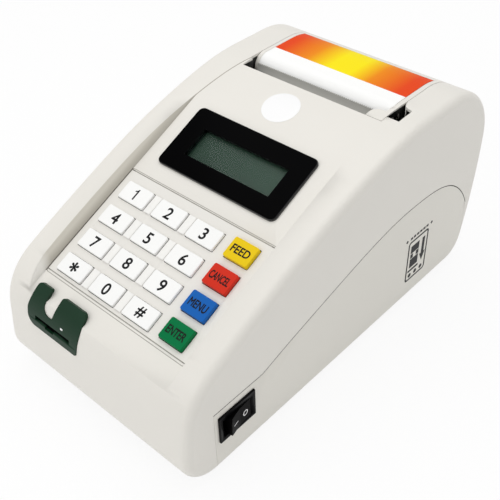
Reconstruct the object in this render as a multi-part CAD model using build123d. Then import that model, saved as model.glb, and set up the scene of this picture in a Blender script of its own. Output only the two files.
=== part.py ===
from build123d import *
from math import acos, atan2, cos, degrees, pi, radians, sin, tan
import os

# Ticket register: a desktop keypad terminal with its own roll printer.
# Millimetres. +Z up, -Y is the front (the nose), +X is the right-hand side.
# The origin is on the table under the middle of the case.

# ------------------------------------------------------------------ case, driving sizes
BODY_LENGTH = 210.0
BODY_WIDTH = 116.5
BODY_HEIGHT = 103.8
FOOT_HEIGHT = 1.5
WALL = 2.5
EDGE_ROUND = 4.0
SEAM_GAP = 0.45            # between cover and base along the arched side line
NOSE_SEAM_GAP = 0.1        # between cover and base at the front and back of the side wings
NOSE_ROUND = 16.0
NOSE_LEAN = 6.8            # degrees that the nose face leans back
NOSE_FACE = 16.6
BROW_ROUND = 30.0
CROWN_SLOPE = 27.0         # degrees at the start of the crown
CROWN_SHAPE = [(0.2274, 0.3295), (0.5034, 0.6804), (0.7564, 0.9061)]    # shares of its length and rise
CROWN_END = 53.0           # ahead of the tail, where the crown becomes level
CROWN_STEPS = 6
SHOULDER_ROUND = 33.0
BACK_TURN = 14.2           # degrees that the back turns in towards the foot
TAIL_ROUND = 13.8

# side wings of the base
WING_FRONT = 16.1          # behind the nose
WING_STEP = 36.0           # height of the level part over the switch
WING_STEP_END = 44.8       # behind the nose
WING_TOP = 60.0
WING_TOP_AT = 150.0        # behind the nose
WING_BACK = 10.0           # ahead of the tail
WING_BACK_HEIGHT = 34.0
WING_RISE = 18.5           # degrees
WING_FALL = 65.0
ARCH_STEPS = 5
LIP_WALL = 1.2
LIP_RISE = 2.5
LIP_CLEARANCE = 0.15

# keypad panel, measured from its own plane (x across, s up the slope, n out of it)
PANEL_BACK = 19.45         # behind the nose, of the plane's origin
PANEL_HEIGHT = 54.36
PANEL_RUN = 100.0          # level length over which the panel climbs to just under the top
PANEL_DROP = 3.91          # of the panel's end under the top
PANEL_WALL = 3.0
RECESS_HALF = 43.4
RECESS_FLARE = 0.42        # sideways per mm of wall height
RECESS_REACH = 8.0

PLATE_WIDTH = 86.0
PLATE_FRONT = -3.2
PLATE_LENGTH = 60.2
PLATE_BACK_MARGIN = 6.04   # behind the last row of white keys
PLATE_THICK = 1.6
PLATE_LEDGE = 2.0
PLATE_CLEARANCE = 0.15
PLATE_GROOVE = 0.5

KEY_COLUMNS = 3
KEY_ROWS = 4
KEY_WIDTH = 15.9
KEY_LENGTH = 9.2
KEY_PITCH_X = 21.26
KEY_FIRST_X = -38.6
KEY_PROUD = 1.3
MENU_KEY_WIDTH = 12.9
MENU_KEY_LENGTH = 9.8
MENU_KEY_X = 25.6
MENU_KEY_SHIFT = 1.1
MENU_KEY_PROUD = 2.0
KEY_CLEARANCE = 0.25
KEY_TRAVEL = 1.2
KEY_FLANGE = 0.7
KEY_FLANGE_THICK = 0.8
KEY_FLANGE_GAP = 0.15
KEY_STEM_RADIUS = 2.0
KEY_STEM = 1.0
DOME_CLEARANCE = 0.1       # left over the domes when a key is fully down
DOME_RADIUS = 3.2
DOME_HEIGHT = 1.0
MAT_THICK = 0.8
BOARD_THICK = 1.6
KEY_NAMES = [["star", "0", "hash"], ["7", "8", "9"], ["4", "5", "6"], ["1", "2", "3"]]
MENU_NAMES = ["enter", "menu", "cancel", "feed"]

# display
BEZEL_WIDTH = 69.7
BEZEL_LENGTH = 33.8
BEZEL_FRONT = 65.0
BEZEL_PROUD = 1.2
BEZEL_CORNER = 3.0
BEZEL_FLANGE = 2.0
WINDOW_WIDTH = 49.5
WINDOW_LENGTH = 15.0
WINDOW_SHIFT_X = 0.4
WINDOW_SHIFT_S = -0.4
WINDOW_DEPTH = 1.8
WINDOW_GLASS = 1.0
WINDOW_SEAT = 1.5
DISPLAY_WIDTH = 60.0
DISPLAY_LENGTH = 24.0
DISPLAY_THICK = 5.0

# card bezel and reader
CARD_PROUD = 0.35
CARD_SEAT = 1.2
CARD_CLEARANCE = 0.12
CARD_LEFT = -41.9
CARD_WIDTH = 34.9
CARD_HEIGHT = 20.9
CARD_FOOT = 33.9
CARD_SLOT_X = -24.6
CARD_SLOT_WIDTH = 23.4
CARD_SLOT_HEIGHT = 2.4
CARD_SLOT_Z = 39.0
CARD_KEYWAY = 5.6          # width of the slot's deeper part
CARD_KEYWAY_SHIFT = -2.0
CARD_KEYWAY_DROP = 1.1
CARD_THROAT = 1.4          # height of the socket's own slot
READER_INSET = 4.0         # of the socket behind the nose's wall
READER_BOARD_MARGIN = 2.0
READER_WIDTH = 30.0
READER_DEPTH = 24.0
READER_HEIGHT = 5.5

# rocker switch on the right-hand wing
SWITCH_LENGTH = 21.0
SWITCH_HEIGHT = 15.0
SWITCH_AT = 28.6           # behind the nose
SWITCH_Z = 25.1
SWITCH_FLANGE = 1.0
SWITCH_DEPTH = 14.0
SWITCH_BODY_LENGTH = 19.2
SWITCH_BODY_HEIGHT = 12.9
SWITCH_CLEARANCE = 0.1
ROCKER_HALF_LENGTH = 7.9
ROCKER_HEIGHT = 10.0
ROCKER_CREST = 3.4
ROCKER_VALLEY = 2.0
ROCKER_BASE = 2.5
ROCKER_PIVOT_DEPTH = 2.15
ROCKER_TILT = 9.0          # degrees each side of level
TRUNNION_RADIUS = 0.9
TRUNNION_LENGTH = 1.1
SHAFT_CLEARANCE = 0.05

# paper lid
OPENING_FRONT = 68.7       # ahead of the tail
LID_LEFT = -39.8
LID_RIGHT = 41.5
LID_CLEARANCE = 0.3
LID_WALL = 2.2
LID_SKIRT = 1.5
LID_SKIRT_DEPTH = 7.0
LID_SKIRT_FRONT = 54.0     # ahead of the tail
NOSE_ROLL_AT = 52.5        # ahead of the tail, the round nose's centre
NOSE_ROLL_RADIUS = 6.7     # to the outside of the paper
NOSE_ROLL_WRAP = 20.0      # degrees that the nose turns in under
LOBE_LEFT = 33.2
LOBE_DROP = 9.6            # of the lobe's foot under the top
LID_RIM_DROP = 3.4         # of the lid's right rim beside the lobe
LOBE_BACK = 61.4           # ahead of the tail
PAPER_WIDTH = 76.5
PAPER_CENTRE = 0.65
PAPER_THICK = 0.25
PAPER_MARGIN = 0.3
STRIP_BACK = 23.5          # ahead of the tail, where the ticket ends
STRIP_DROP = 12.3          # of the ticket's lower end under the top
BARREL_RADIUS = 3.3
BARREL_INSET = 0.15        # of the barrel under the shoulder's surface
BARREL_ANGLE = 35.0        # degrees round the shoulder from its top
PIN_RADIUS = 1.2
EAR_LENGTH = 4.4
LID_OPEN = 95.0
LEFT_STEP = 1.2            # of the opening's left side towards the middle, at its front
LEFT_STEP_LENGTH = 7.0
FINGER_WIDTH = 6.2
FINGER_FRONT = 4.0         # behind the opening's front edge
FINGER_LENGTH = 10.1
FINGER_CORNER = 6.0
OPENING_RIM = 1.8
OPENING_RIM_DEPTH = 9.0

# paper roll and its well
ROLL_AT = 28.5             # ahead of the tail
ROLL_DROP = 39.8           # of the roll's axis under the top
ROLL_RADIUS = 23.0
CORE_RADIUS = 8.5
CORE_WALL = 1.6
SPINDLE_TIP = 3.2
WELL_CLEARANCE = 1.5
WELL_WALL = 2.0
CHEEK_WALL = 2.2
CHEEK_GAP = 1.6            # between the roll's end and the cheek
CHEEK_BACK = 5.0
CHEEK_DROP = 23.8          # of the cheeks' top under the top
WELL_REACH = 20.0          # degrees below level where the trough begins
CHEEK_FRONT = 46.5         # ahead of the tail
WELL_TAB = 8.0

# print mechanism
FRAME_WALL = 1.2
FRAME_GAP = 1.95           # between the paper's edge and the side plate
FRAME_FRONT = 97.0         # ahead of the tail
FRAME_BACK = 47.0
FRAME_TOP_DROP = 10.8      # under the top
FRAME_HEIGHT = 35.0
FRAME_FLANGE = 9.0
PLATEN_AT = 55.0           # ahead of the tail
PLATEN_DROP = 19.8         # under the top
PLATEN_RADIUS = 5.5
PLATEN_SHAFT = 3.0
BUSH_WALL = 1.4
BUSH_STAND = 1.2
SLEEVE_OVERHANG = 0.4
HEAD_GAP = 0.3
HEAD_THICK = 1.0
HEAD_HEIGHT = 12.0
SINK_THICK = 4.0
SINK_HEIGHT = 20.0
SINK_FINS = 6
HEAD_SPRING_RADIUS = 3.0
HEAD_SPRING_WIRE = 0.5
HEAD_SPRING_TURNS = 4
HEAD_SPRING_LENGTH = 6.0
TEAR_BAR_WALL = 0.6
TOOTH_PITCH = 1.1
TOOTH_HEIGHT = 0.8
TEAR_BAR_DROP = 2.9        # of its teeth under the top
TEAR_BAR_LEFT = -37.0
TEAR_BAR_RIGHT = 32.8
GEAR_MODULE = 0.8
PLATEN_TEETH = 18
REDUCER_TEETH = 24
PINION_TEETH = 10
GEAR_WIDTH = 3.6
GEAR_GAP = 0.6
GEAR_BACKLASH = 0.12
PRESSURE_ANGLE = 20.0
REDUCER_ANGLE = -150.0
PINION_ANGLE = -175.0
STUD_RADIUS = 2.0
MOTOR_RADIUS = 9.5
MOTOR_LENGTH = 18.0
MOTOR_SHAFT = 1.0

# boards, power and fixings
MAIN_BOARD_WIDTH = 76.0
MAIN_BOARD_FRONT = 83.0    # behind the nose
MAIN_BOARD_BACK = 15.5     # ahead of the tail
SOUNDER_X = 22.0
SOUNDER_BACK = 19.5        # ahead of the board's back edge
MAIN_BOARD_Z = 10.0
CELL_RADIUS = 9.3
CELL_LENGTH = 68.0
BATTERY_BACK = 60.0        # behind the nose, the pack's centre
INLET_RADIUS = 3.2
INLET_X = -26.0
PORT_X = 24.0
PORT_WIDTH = 12.0
PORT_HEIGHT = 11.0
CONNECTOR_SIDE = 10.0
CONNECTOR_LENGTH = 14.0
CASE_BOSS_INSET = 7.85     # from the side
CASE_BOSS_FRONT = 55.0     # behind the nose
CASE_BOSS_BACK = 27.0      # ahead of the tail
CASE_BOSS_RADIUS = 3.5
CASE_BOSS_SPLIT = 34.0
CASE_SCREW_SEAT = 28.0
SCREW_RADIUS = 1.5
SCREW_HEAD = 2.8
SCREW_HEAD_THICK = 2.0
SCREW_LENGTH = 12.0
PILLAR_RADIUS = 3.5
PILLAR_X = 46.5
PILLAR_FRONT = 91.0        # ahead of the tail
PILLAR_BACK = 55.0
FOOT_RADIUS = 6.0
FOOT_SINK = 0.8
FOOT_X = 43.0
FOOT_FRONT = 33.0          # behind the nose
FOOT_BACK = 43.0           # ahead of the tail
VENT_COUNT = 7
VENT_PITCH = 6.0
VENT_WIDTH = 2.2
VENT_LENGTH = 26.0
VENT_AT = 120.0            # behind the nose

# small shared details
FIT_GAP = 0.15
PAPER_GAP = 0.05
KEY_CAP_CORNER = 0.9
KEY_EDGE_ROUND = 0.35
PLATE_CORNER = 1.0
PAD_MARGIN = 0.5
PAD_RISE = 0.6
PANEL_BOSS_RADIUS = 2.4
KEY_BOARD_INSET = 7.1      # of its screws from the plate's ends
DISPLAY_BOSS_X = 37.0
WINDOW_CORNER = 0.6
SWITCH_CORNER = 0.4
ROCKER_EDGE = 0.5
LOBE_ROUND = 4.0
HEAD_PIVOT = 1.5
SPINDLE_END_GAP = 0.3
TEAR_BAR_BOW = 2.6
GEAR_ADDENDUM = 0.85
GEAR_DEDENDUM = 1.15
FLANK_STEPS = 3
CONNECTOR_INSET = 10.5     # ahead of the tail
SHORT_SCREW = 6.0
STOP_WALL = 1.6

# ------------------------------------------------------------------ places worked out from them
NOSE_Y = -BODY_LENGTH / 2
TAIL_Y = BODY_LENGTH / 2
HALF_WIDTH = BODY_WIDTH / 2
FLOOR_Z = FOOT_HEIGHT
FLOOR_TOP = FLOOR_Z + WALL
FAR = 400.0                # longer than the whole case, for cutting blocks

PANEL_ANGLE = degrees(atan2(BODY_HEIGHT - PANEL_DROP - PANEL_HEIGHT, PANEL_RUN))
SLOPE = radians(PANEL_ANGLE)
PANEL = Plane(
    origin=(0, NOSE_Y + PANEL_BACK, PANEL_HEIGHT),
    x_dir=(1, 0, 0),
    z_dir=(0, -sin(SLOPE), cos(SLOPE)),
)


def at_x(x, sketch):
    """A (y, z) sketch stood up in the side plane at x."""
    return Pos(x, 0, 0) * (Plane.YZ * sketch)


def side_bar(sketch, x_low, x_high):
    """A (y, z) sketch drawn out sideways from x_low to x_high."""
    return extrude(at_x(x_low, sketch), amount=x_high - x_low, dir=(1, 0, 0))


def side_rod(y, z, radius, x_low, x_high):
    """A rod across the case."""
    return side_bar(Pos(y, z) * Circle(radius), x_low, x_high)


def block(x_low, x_high, y_low, y_high, z_low, z_high):
    """A block between two corners."""
    size = (x_high - x_low, y_high - y_low, z_high - z_low)
    middle = ((x_low + x_high) / 2, (y_low + y_high) / 2, (z_low + z_high) / 2)
    return Pos(*middle) * Box(*size)


def column(x, y, radius, z_low, z_high):
    """An upright round column."""
    return Pos(x, y, (z_low + z_high) / 2) * Cylinder(radius, z_high - z_low)


def heading(angle):
    """Unit direction at an angle in degrees."""
    return (cos(radians(angle)), sin(radians(angle)))


# ------------------------------------------------------------------ case outline
def crown_points(inset):
    """Points along the crown, each moved square to it by inset, from the brow to the flat top."""
    brow_end = case_brow(0) @ 1
    length, rise = TAIL_Y - CROWN_END - brow_end.X, BODY_HEIGHT - brow_end.Y
    through = [(brow_end.X + along * length, brow_end.Y + up * rise) for along, up in CROWN_SHAPE]
    flat_start = (TAIL_Y - CROWN_END, BODY_HEIGHT)
    crown = Spline([brow_end, *through, flat_start], tangents=[heading(CROWN_SLOPE), (1, 0)])
    points = []
    for step in range(CROWN_STEPS + 1):
        along, at = crown % (step / CROWN_STEPS), crown @ (step / CROWN_STEPS)
        points.append((at.X + inset * along.Y, at.Y - inset * along.X))
    return points


def case_nose(inset):
    """Foot round and face of the nose, moved in by inset."""
    start = (NOSE_Y + NOSE_ROUND, FLOOR_Z + inset)
    nose_foot = JernArc(start, (-1, 0), NOSE_ROUND - inset, -(90 + NOSE_LEAN))
    lean = heading(90 - NOSE_LEAN)
    foot_end = nose_foot @ 1
    return nose_foot, Line(foot_end, (foot_end.X + NOSE_FACE * lean[0], foot_end.Y + NOSE_FACE * lean[1]))


def case_brow(inset):
    """Round from the nose face to the crown, moved in by inset."""
    nose_foot, nose_face = case_nose(inset)
    turn = -(90 - NOSE_LEAN - CROWN_SLOPE)
    return JernArc(nose_face @ 1, heading(90 - NOSE_LEAN), BROW_ROUND - inset, turn)


def case_outline(inset):
    """Side outline of the case as one face in (y, z), moved in by inset all round."""
    back_foot_z = FLOOR_Z + TAIL_ROUND * (1 - sin(radians(BACK_TURN)))
    back_bow = (BODY_HEIGHT - SHOULDER_ROUND - back_foot_z) / sin(radians(BACK_TURN))
    nose_foot, nose_face = case_nose(inset)
    brow = case_brow(inset)
    crown = Spline(crown_points(inset), tangents=[heading(CROWN_SLOPE), (1, 0)])
    flat = Line(crown @ 1, (TAIL_Y - SHOULDER_ROUND, BODY_HEIGHT - inset))
    shoulder = JernArc(flat @ 1, (1, 0), SHOULDER_ROUND - inset, -90)
    back = JernArc(shoulder @ 1, (0, -1), back_bow - inset, -BACK_TURN)
    tail = JernArc(back @ 1, heading(-90 - BACK_TURN), TAIL_ROUND - inset, -(90 - BACK_TURN))
    sole = Line(tail @ 1, nose_foot @ 0)
    edges = [sole, nose_foot, nose_face, brow, crown, flat, shoulder, back, tail]
    return make_face(Wire([edge.edge() for edge in edges]).edges())


def case_block(inset, rounding):
    """The whole case as a solid block, moved in by inset all round."""
    half = HALF_WIDTH - inset
    solid = side_bar(case_outline(inset), -half, half)
    rims = solid.edges().filter_by(lambda edge: abs(abs(edge.center().X) - half) < 0.01)
    return fillet(rims, rounding) if rounding > 0 else solid


def moved_spline(curve, grow, start, end):
    """A spline beside another, grow to its left, with end directions start and end."""
    points = []
    for step in range(ARCH_STEPS + 1):
        along, at = curve % (step / ARCH_STEPS), curve @ (step / ARCH_STEPS)
        points.append((at.X - grow * along.Y, at.Y + grow * along.X))
    return Spline(points, tangents=[start, end])


def wing_region(grow):
    """The base's side area in (y, z), its level part and long arch moved up by grow."""
    front, back = NOSE_Y + WING_FRONT - grow, TAIL_Y - WING_BACK
    step_end, top_y = NOSE_Y + WING_STEP_END, NOSE_Y + WING_TOP_AT
    rise_start, fall_end = heading(WING_RISE), heading(-WING_FALL)
    rise_middle = ((step_end + top_y) / 2, WING_STEP + (WING_TOP - WING_STEP) * 0.63)
    rise = Spline([(step_end, WING_STEP), rise_middle, (top_y, WING_TOP)], tangents=[rise_start, (1, 0)])
    fall_middle = (top_y + (back - top_y) * 0.66, WING_BACK_HEIGHT + (WING_TOP - WING_BACK_HEIGHT) * 0.755)
    fall = Spline([(top_y, WING_TOP), fall_middle, (back, WING_BACK_HEIGHT)], tangents=[(1, 0), fall_end])
    rise = moved_spline(rise, grow, rise_start, (1, 0))
    fall = moved_spline(fall, grow, (1, 0), fall_end)
    level = Line((front, WING_STEP + grow), rise @ 0)
    end = fall @ 1
    rear = Line(end, (end.X, -FOOT_HEIGHT))
    under = Line((end.X, -FOOT_HEIGHT), (front, -FOOT_HEIGHT))
    ahead = Line((front, -FOOT_HEIGHT), (front, WING_STEP + grow))
    edges = [level, rise, fall, rear, under, ahead]
    return make_face(Wire([edge.edge() for edge in edges]).edges())


OPENING_Y = TAIL_Y - OPENING_FRONT
PIN_DROP = SHOULDER_ROUND - BARREL_RADIUS - BARREL_INSET
PIN_Y = TAIL_Y - SHOULDER_ROUND + PIN_DROP * sin(radians(BARREL_ANGLE))
PIN_Z = BODY_HEIGHT - SHOULDER_ROUND + PIN_DROP * cos(radians(BARREL_ANGLE))
LID_EDGE_Y = TAIL_Y - SHOULDER_ROUND + SHOULDER_ROUND * sin(radians(BARREL_ANGLE))
HINGE_GROOVE = BARREL_RADIUS / cos(radians(LID_OPEN / 2)) + LID_CLEARANCE
LID_HOLE_LEFT = LID_LEFT - LID_CLEARANCE
LID_HOLE_RIGHT = LID_RIGHT + LID_CLEARANCE
CURL_Y = TAIL_Y - NOSE_ROLL_AT
CURL_Z = BODY_HEIGHT - NOSE_ROLL_RADIUS
PAPER_LEFT = PAPER_CENTRE - PAPER_WIDTH / 2
PAPER_RIGHT = PAPER_CENTRE + PAPER_WIDTH / 2
LOBE_FOOT_Z = BODY_HEIGHT - LOBE_DROP
STRIP_FOOT_Z = BODY_HEIGHT - STRIP_DROP
ROLL_Y, ROLL_Z = TAIL_Y - ROLL_AT, BODY_HEIGHT - ROLL_DROP
PLATEN_Y, PLATEN_Z = TAIL_Y - PLATEN_AT, BODY_HEIGHT - PLATEN_DROP
FRAME_TOP = BODY_HEIGHT - FRAME_TOP_DROP
FRAME_FLOOR = FRAME_TOP - FRAME_HEIGHT
CHEEK_TOP = BODY_HEIGHT - CHEEK_DROP
TEAR_BAR_TOP = BODY_HEIGHT - TEAR_BAR_DROP
CASE_BOSS_X = HALF_WIDTH - CASE_BOSS_INSET
SIDE_LEFT = PAPER_LEFT - FRAME_GAP       # inner faces of the mechanism's side plates
SIDE_RIGHT = PAPER_RIGHT + FRAME_GAP
CHEEK_LEFT = PAPER_LEFT - CHEEK_GAP      # inner faces of the well's cheeks
CHEEK_RIGHT = PAPER_RIGHT + CHEEK_GAP
HEAD_Y = PLATEN_Y - PLATEN_RADIUS - HEAD_GAP
SINK_Y = HEAD_Y - HEAD_THICK - SINK_THICK
FRAME_WALL_Y = SINK_Y - HEAD_SPRING_LENGTH
SINK_TOP = PLATEN_Z + SINK_HEIGHT * 0.35
GEAR_X = SIDE_LEFT - FRAME_WALL - GEAR_GAP
SWITCH_Y = NOSE_Y + SWITCH_AT
PIVOT_X = HALF_WIDTH - ROCKER_PIVOT_DEPTH
BOARD_TOP = MAIN_BOARD_Z + BOARD_THICK


def trough_section(half, floor_n):
    """Cross-section of the sunken panel area in (x, n), open upwards."""
    wide = half + (RECESS_REACH - floor_n) * RECESS_FLARE
    points = [(-half, floor_n), (half, floor_n), (wide, RECESS_REACH), (-wide, RECESS_REACH)]
    return make_face(Polyline(*points, close=True))


def panel_trough(half, floor_n):
    """The sunken panel area as a solid, drawn out along the slope."""
    front = -RECESS_HALF / 2
    back = (BODY_HEIGHT - PANEL_HEIGHT) / sin(SLOPE)
    section = PANEL * Pos(0, front, 0) * (Plane.XZ * trough_section(half, floor_n))
    return extrude(section, amount=back - front, dir=PANEL.y_dir)


def panel_block(x_low, x_high, s_low, s_high, n_low, n_high):
    """A block in panel coordinates."""
    size = (x_high - x_low, s_high - s_low, n_high - n_low)
    middle = ((x_low + x_high) / 2, (s_low + s_high) / 2, (n_low + n_high) / 2)
    return PANEL * Pos(*middle) * Box(*size)


def panel_slab(width, length, corner, x, s, n_low, n_high):
    """A round-cornered slab in panel coordinates, centred at x and s."""
    sheet = PANEL * Pos(x, s, n_low) * RectangleRounded(width, length, corner)
    return extrude(sheet, amount=n_high - n_low, dir=PANEL.z_dir)


def panel_pin(x, s, radius, n_low, n_high):
    """A round pin that stands square to the panel."""
    return PANEL * Pos(x, s, (n_low + n_high) / 2) * Cylinder(radius, n_high - n_low)


def opening_plan(grow=0.0):
    """Plan of the hole in the cover for the lid, with its finger bay on the right."""
    bay_front = OPENING_Y + FINGER_FRONT
    bay_back = bay_front + FINGER_LENGTH
    points = [
        (LID_HOLE_LEFT + LEFT_STEP, OPENING_Y),
        (LID_HOLE_RIGHT, OPENING_Y),
        (LID_HOLE_RIGHT, bay_front),
        (LID_HOLE_RIGHT + FINGER_WIDTH, bay_front),
        (LID_HOLE_RIGHT + FINGER_WIDTH, bay_back),
        (LID_HOLE_RIGHT, bay_back),
        (LID_HOLE_RIGHT, PIN_Y),
        (LID_HOLE_LEFT, PIN_Y),
        (LID_HOLE_LEFT, OPENING_Y + LEFT_STEP_LENGTH),
        (LID_HOLE_LEFT + LEFT_STEP, OPENING_Y + LEFT_STEP_LENGTH),
    ]
    plan = make_face(Polyline(*points, close=True))
    corner = plan.vertices().sort_by_distance((LID_HOLE_RIGHT, bay_back, 0))[0]
    plan = fillet(corner, FINGER_CORNER)
    return offset(plan, amount=grow) if grow > 0 else plan


def case_boss_places():
    """Where the four case screws stand."""
    rows = (NOSE_Y + CASE_BOSS_FRONT, TAIL_Y - CASE_BOSS_BACK)
    return [(side * CASE_BOSS_X, y) for side in (-1, 1) for y in rows]


def pillar_places():
    """Where the print mechanism stands on its pillars."""
    rows = (TAIL_Y - PILLAR_FRONT, TAIL_Y - PILLAR_BACK)
    return [(side * PILLAR_X, y) for side in (-1, 1) for y in rows]


def foot_places():
    """Where the four rubber feet sit."""
    rows = (NOSE_Y + FOOT_FRONT, TAIL_Y - FOOT_BACK)
    return [(side * FOOT_X, y) for side in (-1, 1) for y in rows]


# ------------------------------------------------------------------ keys
KEY_PITCH_S = (PLATE_FRONT + PLATE_LENGTH - PLATE_BACK_MARGIN - KEY_LENGTH) / (KEY_ROWS - 1)


def key_table():
    """Each key as (name, x of its middle, s of its middle, width, length, height over the plate)."""
    keys = []
    for row in range(KEY_ROWS):
        s = row * KEY_PITCH_S + KEY_LENGTH / 2
        for column_index in range(KEY_COLUMNS):
            x = KEY_FIRST_X + column_index * KEY_PITCH_X + KEY_WIDTH / 2
            name = "key_" + KEY_NAMES[row][column_index]
            keys.append((name, x, s, KEY_WIDTH, KEY_LENGTH, KEY_PROUD))
        name = "key_" + MENU_NAMES[row]
        menu_x = MENU_KEY_X + MENU_KEY_WIDTH / 2
        menu_s = s + MENU_KEY_SHIFT
        keys.append((name, menu_x, menu_s, MENU_KEY_WIDTH, MENU_KEY_LENGTH, MENU_KEY_PROUD))
    return keys


FLANGE_TOP = -(PLATE_THICK + KEY_FLANGE_GAP)
FLANGE_FOOT = FLANGE_TOP - KEY_FLANGE_THICK
STEM_FOOT = FLANGE_FOOT - KEY_STEM
DOME_TOP = STEM_FOOT - KEY_TRAVEL - DOME_CLEARANCE
MAT_TOP = DOME_TOP - DOME_HEIGHT
KEY_BOARD_TOP = MAT_TOP - MAT_THICK
PLATE_MIDDLE = PLATE_FRONT + PLATE_LENGTH / 2
BEZEL_MIDDLE = BEZEL_FRONT + BEZEL_LENGTH / 2


def make_key(x, s, width, length, proud):
    """One key: a rounded cap through the plate, a flange under it and a stem."""
    cap = panel_slab(width, length, KEY_CAP_CORNER, x, s, FLANGE_TOP - KEY_FLANGE_THICK / 2, proud)
    rim = cap.faces().sort_by_distance(PANEL.from_local_coords(Vector(x, s, proud)))[0].edges()
    cap = fillet(rim, KEY_EDGE_ROUND)
    flange_size = (width + 2 * KEY_FLANGE, length + 2 * KEY_FLANGE)
    flange = panel_slab(*flange_size, KEY_CAP_CORNER, x, s, FLANGE_FOOT, FLANGE_TOP)
    stem = panel_pin(x, s, KEY_STEM_RADIUS, STEM_FOOT, FLANGE_FOOT)
    return cap + flange + stem


def make_keypad_plate():
    """The inset plate: a hole for every key, a raised pad between the white keys."""
    plate = panel_slab(PLATE_WIDTH, PLATE_LENGTH, PLATE_CORNER, 0, PLATE_MIDDLE, -PLATE_THICK, 0)
    for s in (PLATE_FRONT + 2 * PLATE_GROOVE, PLATE_FRONT + PLATE_LENGTH - 2 * PLATE_GROOVE):
        half = PLATE_WIDTH / 2
        plate -= panel_block(-half, half, s, s + PLATE_GROOVE, -PLATE_GROOVE, 1)
    for name, x, s, width, length, proud in key_table():
        size = (width + 2 * KEY_CLEARANCE, length + 2 * KEY_CLEARANCE)
        plate -= panel_slab(*size, KEY_CAP_CORNER, x, s, -2 * PLATE_THICK, 1)
    pad_width = KEY_PITCH_X - KEY_WIDTH - 2 * KEY_CLEARANCE - 2 * PAD_MARGIN
    for row in range(KEY_ROWS):
        s = row * KEY_PITCH_S + KEY_LENGTH / 2
        for gap in range(1, KEY_COLUMNS):
            x = KEY_FIRST_X + gap * KEY_PITCH_X - (KEY_PITCH_X - KEY_WIDTH) / 2
            low, high = s - KEY_LENGTH / 2, s + KEY_LENGTH / 2
            plate += panel_block(x - pad_width / 2, x + pad_width / 2, low, high, -PLATE_GROOVE, PAD_RISE)
    return plate


def make_key_mat():
    """Silicone mat with one dome under each key."""
    half = PLATE_WIDTH / 2 - PLATE_LEDGE
    mat = panel_block(-half, half, PLATE_FRONT + PLATE_LEDGE, PLATE_FRONT + PLATE_LENGTH - PLATE_LEDGE,
                      KEY_BOARD_TOP, MAT_TOP)
    for name, x, s, width, length, proud in key_table():
        dome = PANEL * Pos(x, s, MAT_TOP + DOME_HEIGHT / 2) * Cone(DOME_RADIUS, DOME_RADIUS / 2, DOME_HEIGHT)
        mat += dome
    return mat


def key_board_bosses():
    """Where the key board's four screws sit, as (x, s)."""
    x = PLATE_WIDTH / 2 + PANEL_BOSS_RADIUS / 2
    rows = (PLATE_FRONT + KEY_BOARD_INSET, PLATE_FRONT + PLATE_LENGTH - KEY_BOARD_INSET)
    return [(side * x, s) for side in (-1, 1) for s in rows]


def display_bosses():
    """Where the display board's four screws sit, as (x, s)."""
    rows = (BEZEL_FRONT, BEZEL_FRONT + BEZEL_LENGTH)
    return [(side * DISPLAY_BOSS_X, s) for side in (-1, 1) for s in rows]


def make_key_board():
    """Circuit board under the mat."""
    half = PLATE_WIDTH / 2 + PANEL_BOSS_RADIUS * 1.5
    front, back = PLATE_FRONT, PLATE_FRONT + PLATE_LENGTH
    return panel_block(-half, half, front, back, KEY_BOARD_TOP - BOARD_THICK, KEY_BOARD_TOP)


# ------------------------------------------------------------------ display
GLASS_TOP = BEZEL_PROUD - WINDOW_DEPTH
GLASS_FOOT = GLASS_TOP - WINDOW_GLASS
DISPLAY_FOOT = GLASS_FOOT - DISPLAY_THICK


def make_display_bezel():
    """Glossy frame on the panel, with a flange down through the cover and a stepped window."""
    middle = BEZEL_MIDDLE
    bezel = panel_slab(BEZEL_WIDTH, BEZEL_LENGTH, BEZEL_CORNER, 0, middle, 0, BEZEL_PROUD)
    top = bezel.faces().sort_by_distance(PANEL.from_local_coords(Vector(0, middle, BEZEL_PROUD)))[0]
    bezel = fillet(top.edges(), BEZEL_PROUD / 3)
    inner = (BEZEL_WIDTH - 2 * BEZEL_FLANGE, BEZEL_LENGTH - 2 * BEZEL_FLANGE)
    bezel += panel_slab(*inner, BEZEL_CORNER - BEZEL_FLANGE / 2, 0, middle, GLASS_FOOT, 0)
    x, s = WINDOW_SHIFT_X, middle + WINDOW_SHIFT_S
    bezel -= panel_slab(WINDOW_WIDTH, WINDOW_LENGTH, WINDOW_CORNER, x, s, GLASS_FOOT - 1, 2 * BEZEL_PROUD)
    seat = (WINDOW_WIDTH + 2 * WINDOW_SEAT, WINDOW_LENGTH + 2 * WINDOW_SEAT)
    bezel -= panel_slab(*seat, WINDOW_CORNER, x, s, GLASS_FOOT - 1, GLASS_TOP)
    return bezel


def make_display_window():
    """Clear window in its seat behind the bezel."""
    size = (WINDOW_WIDTH + 2 * WINDOW_SEAT - 2 * FIT_GAP, WINDOW_LENGTH + 2 * WINDOW_SEAT - 2 * FIT_GAP)
    s = BEZEL_MIDDLE + WINDOW_SHIFT_S
    return panel_slab(*size, WINDOW_CORNER, WINDOW_SHIFT_X, s, GLASS_FOOT, GLASS_TOP)


def make_display_module():
    """Character display: metal can and its board, hung from the cover."""
    s = BEZEL_MIDDLE
    half_x, half_s = DISPLAY_WIDTH / 2, DISPLAY_LENGTH / 2
    can = panel_block(-half_x, half_x, s - half_s, s + half_s, DISPLAY_FOOT, GLASS_FOOT)
    board_x = DISPLAY_BOSS_X + PANEL_BOSS_RADIUS
    board_s = BEZEL_LENGTH / 2 + PANEL_BOSS_RADIUS
    board = panel_block(-board_x, board_x, s - board_s, s + board_s, DISPLAY_FOOT - BOARD_THICK, DISPLAY_FOOT)
    return can + board


# ------------------------------------------------------------------ card bezel and reader
BROW_TURN = 90 - NOSE_LEAN - CROWN_SLOPE
CARD_TILT = 90 - NOSE_LEAN - BROW_TURN / 2      # slope of the chord that the bezel is drawn on


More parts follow.
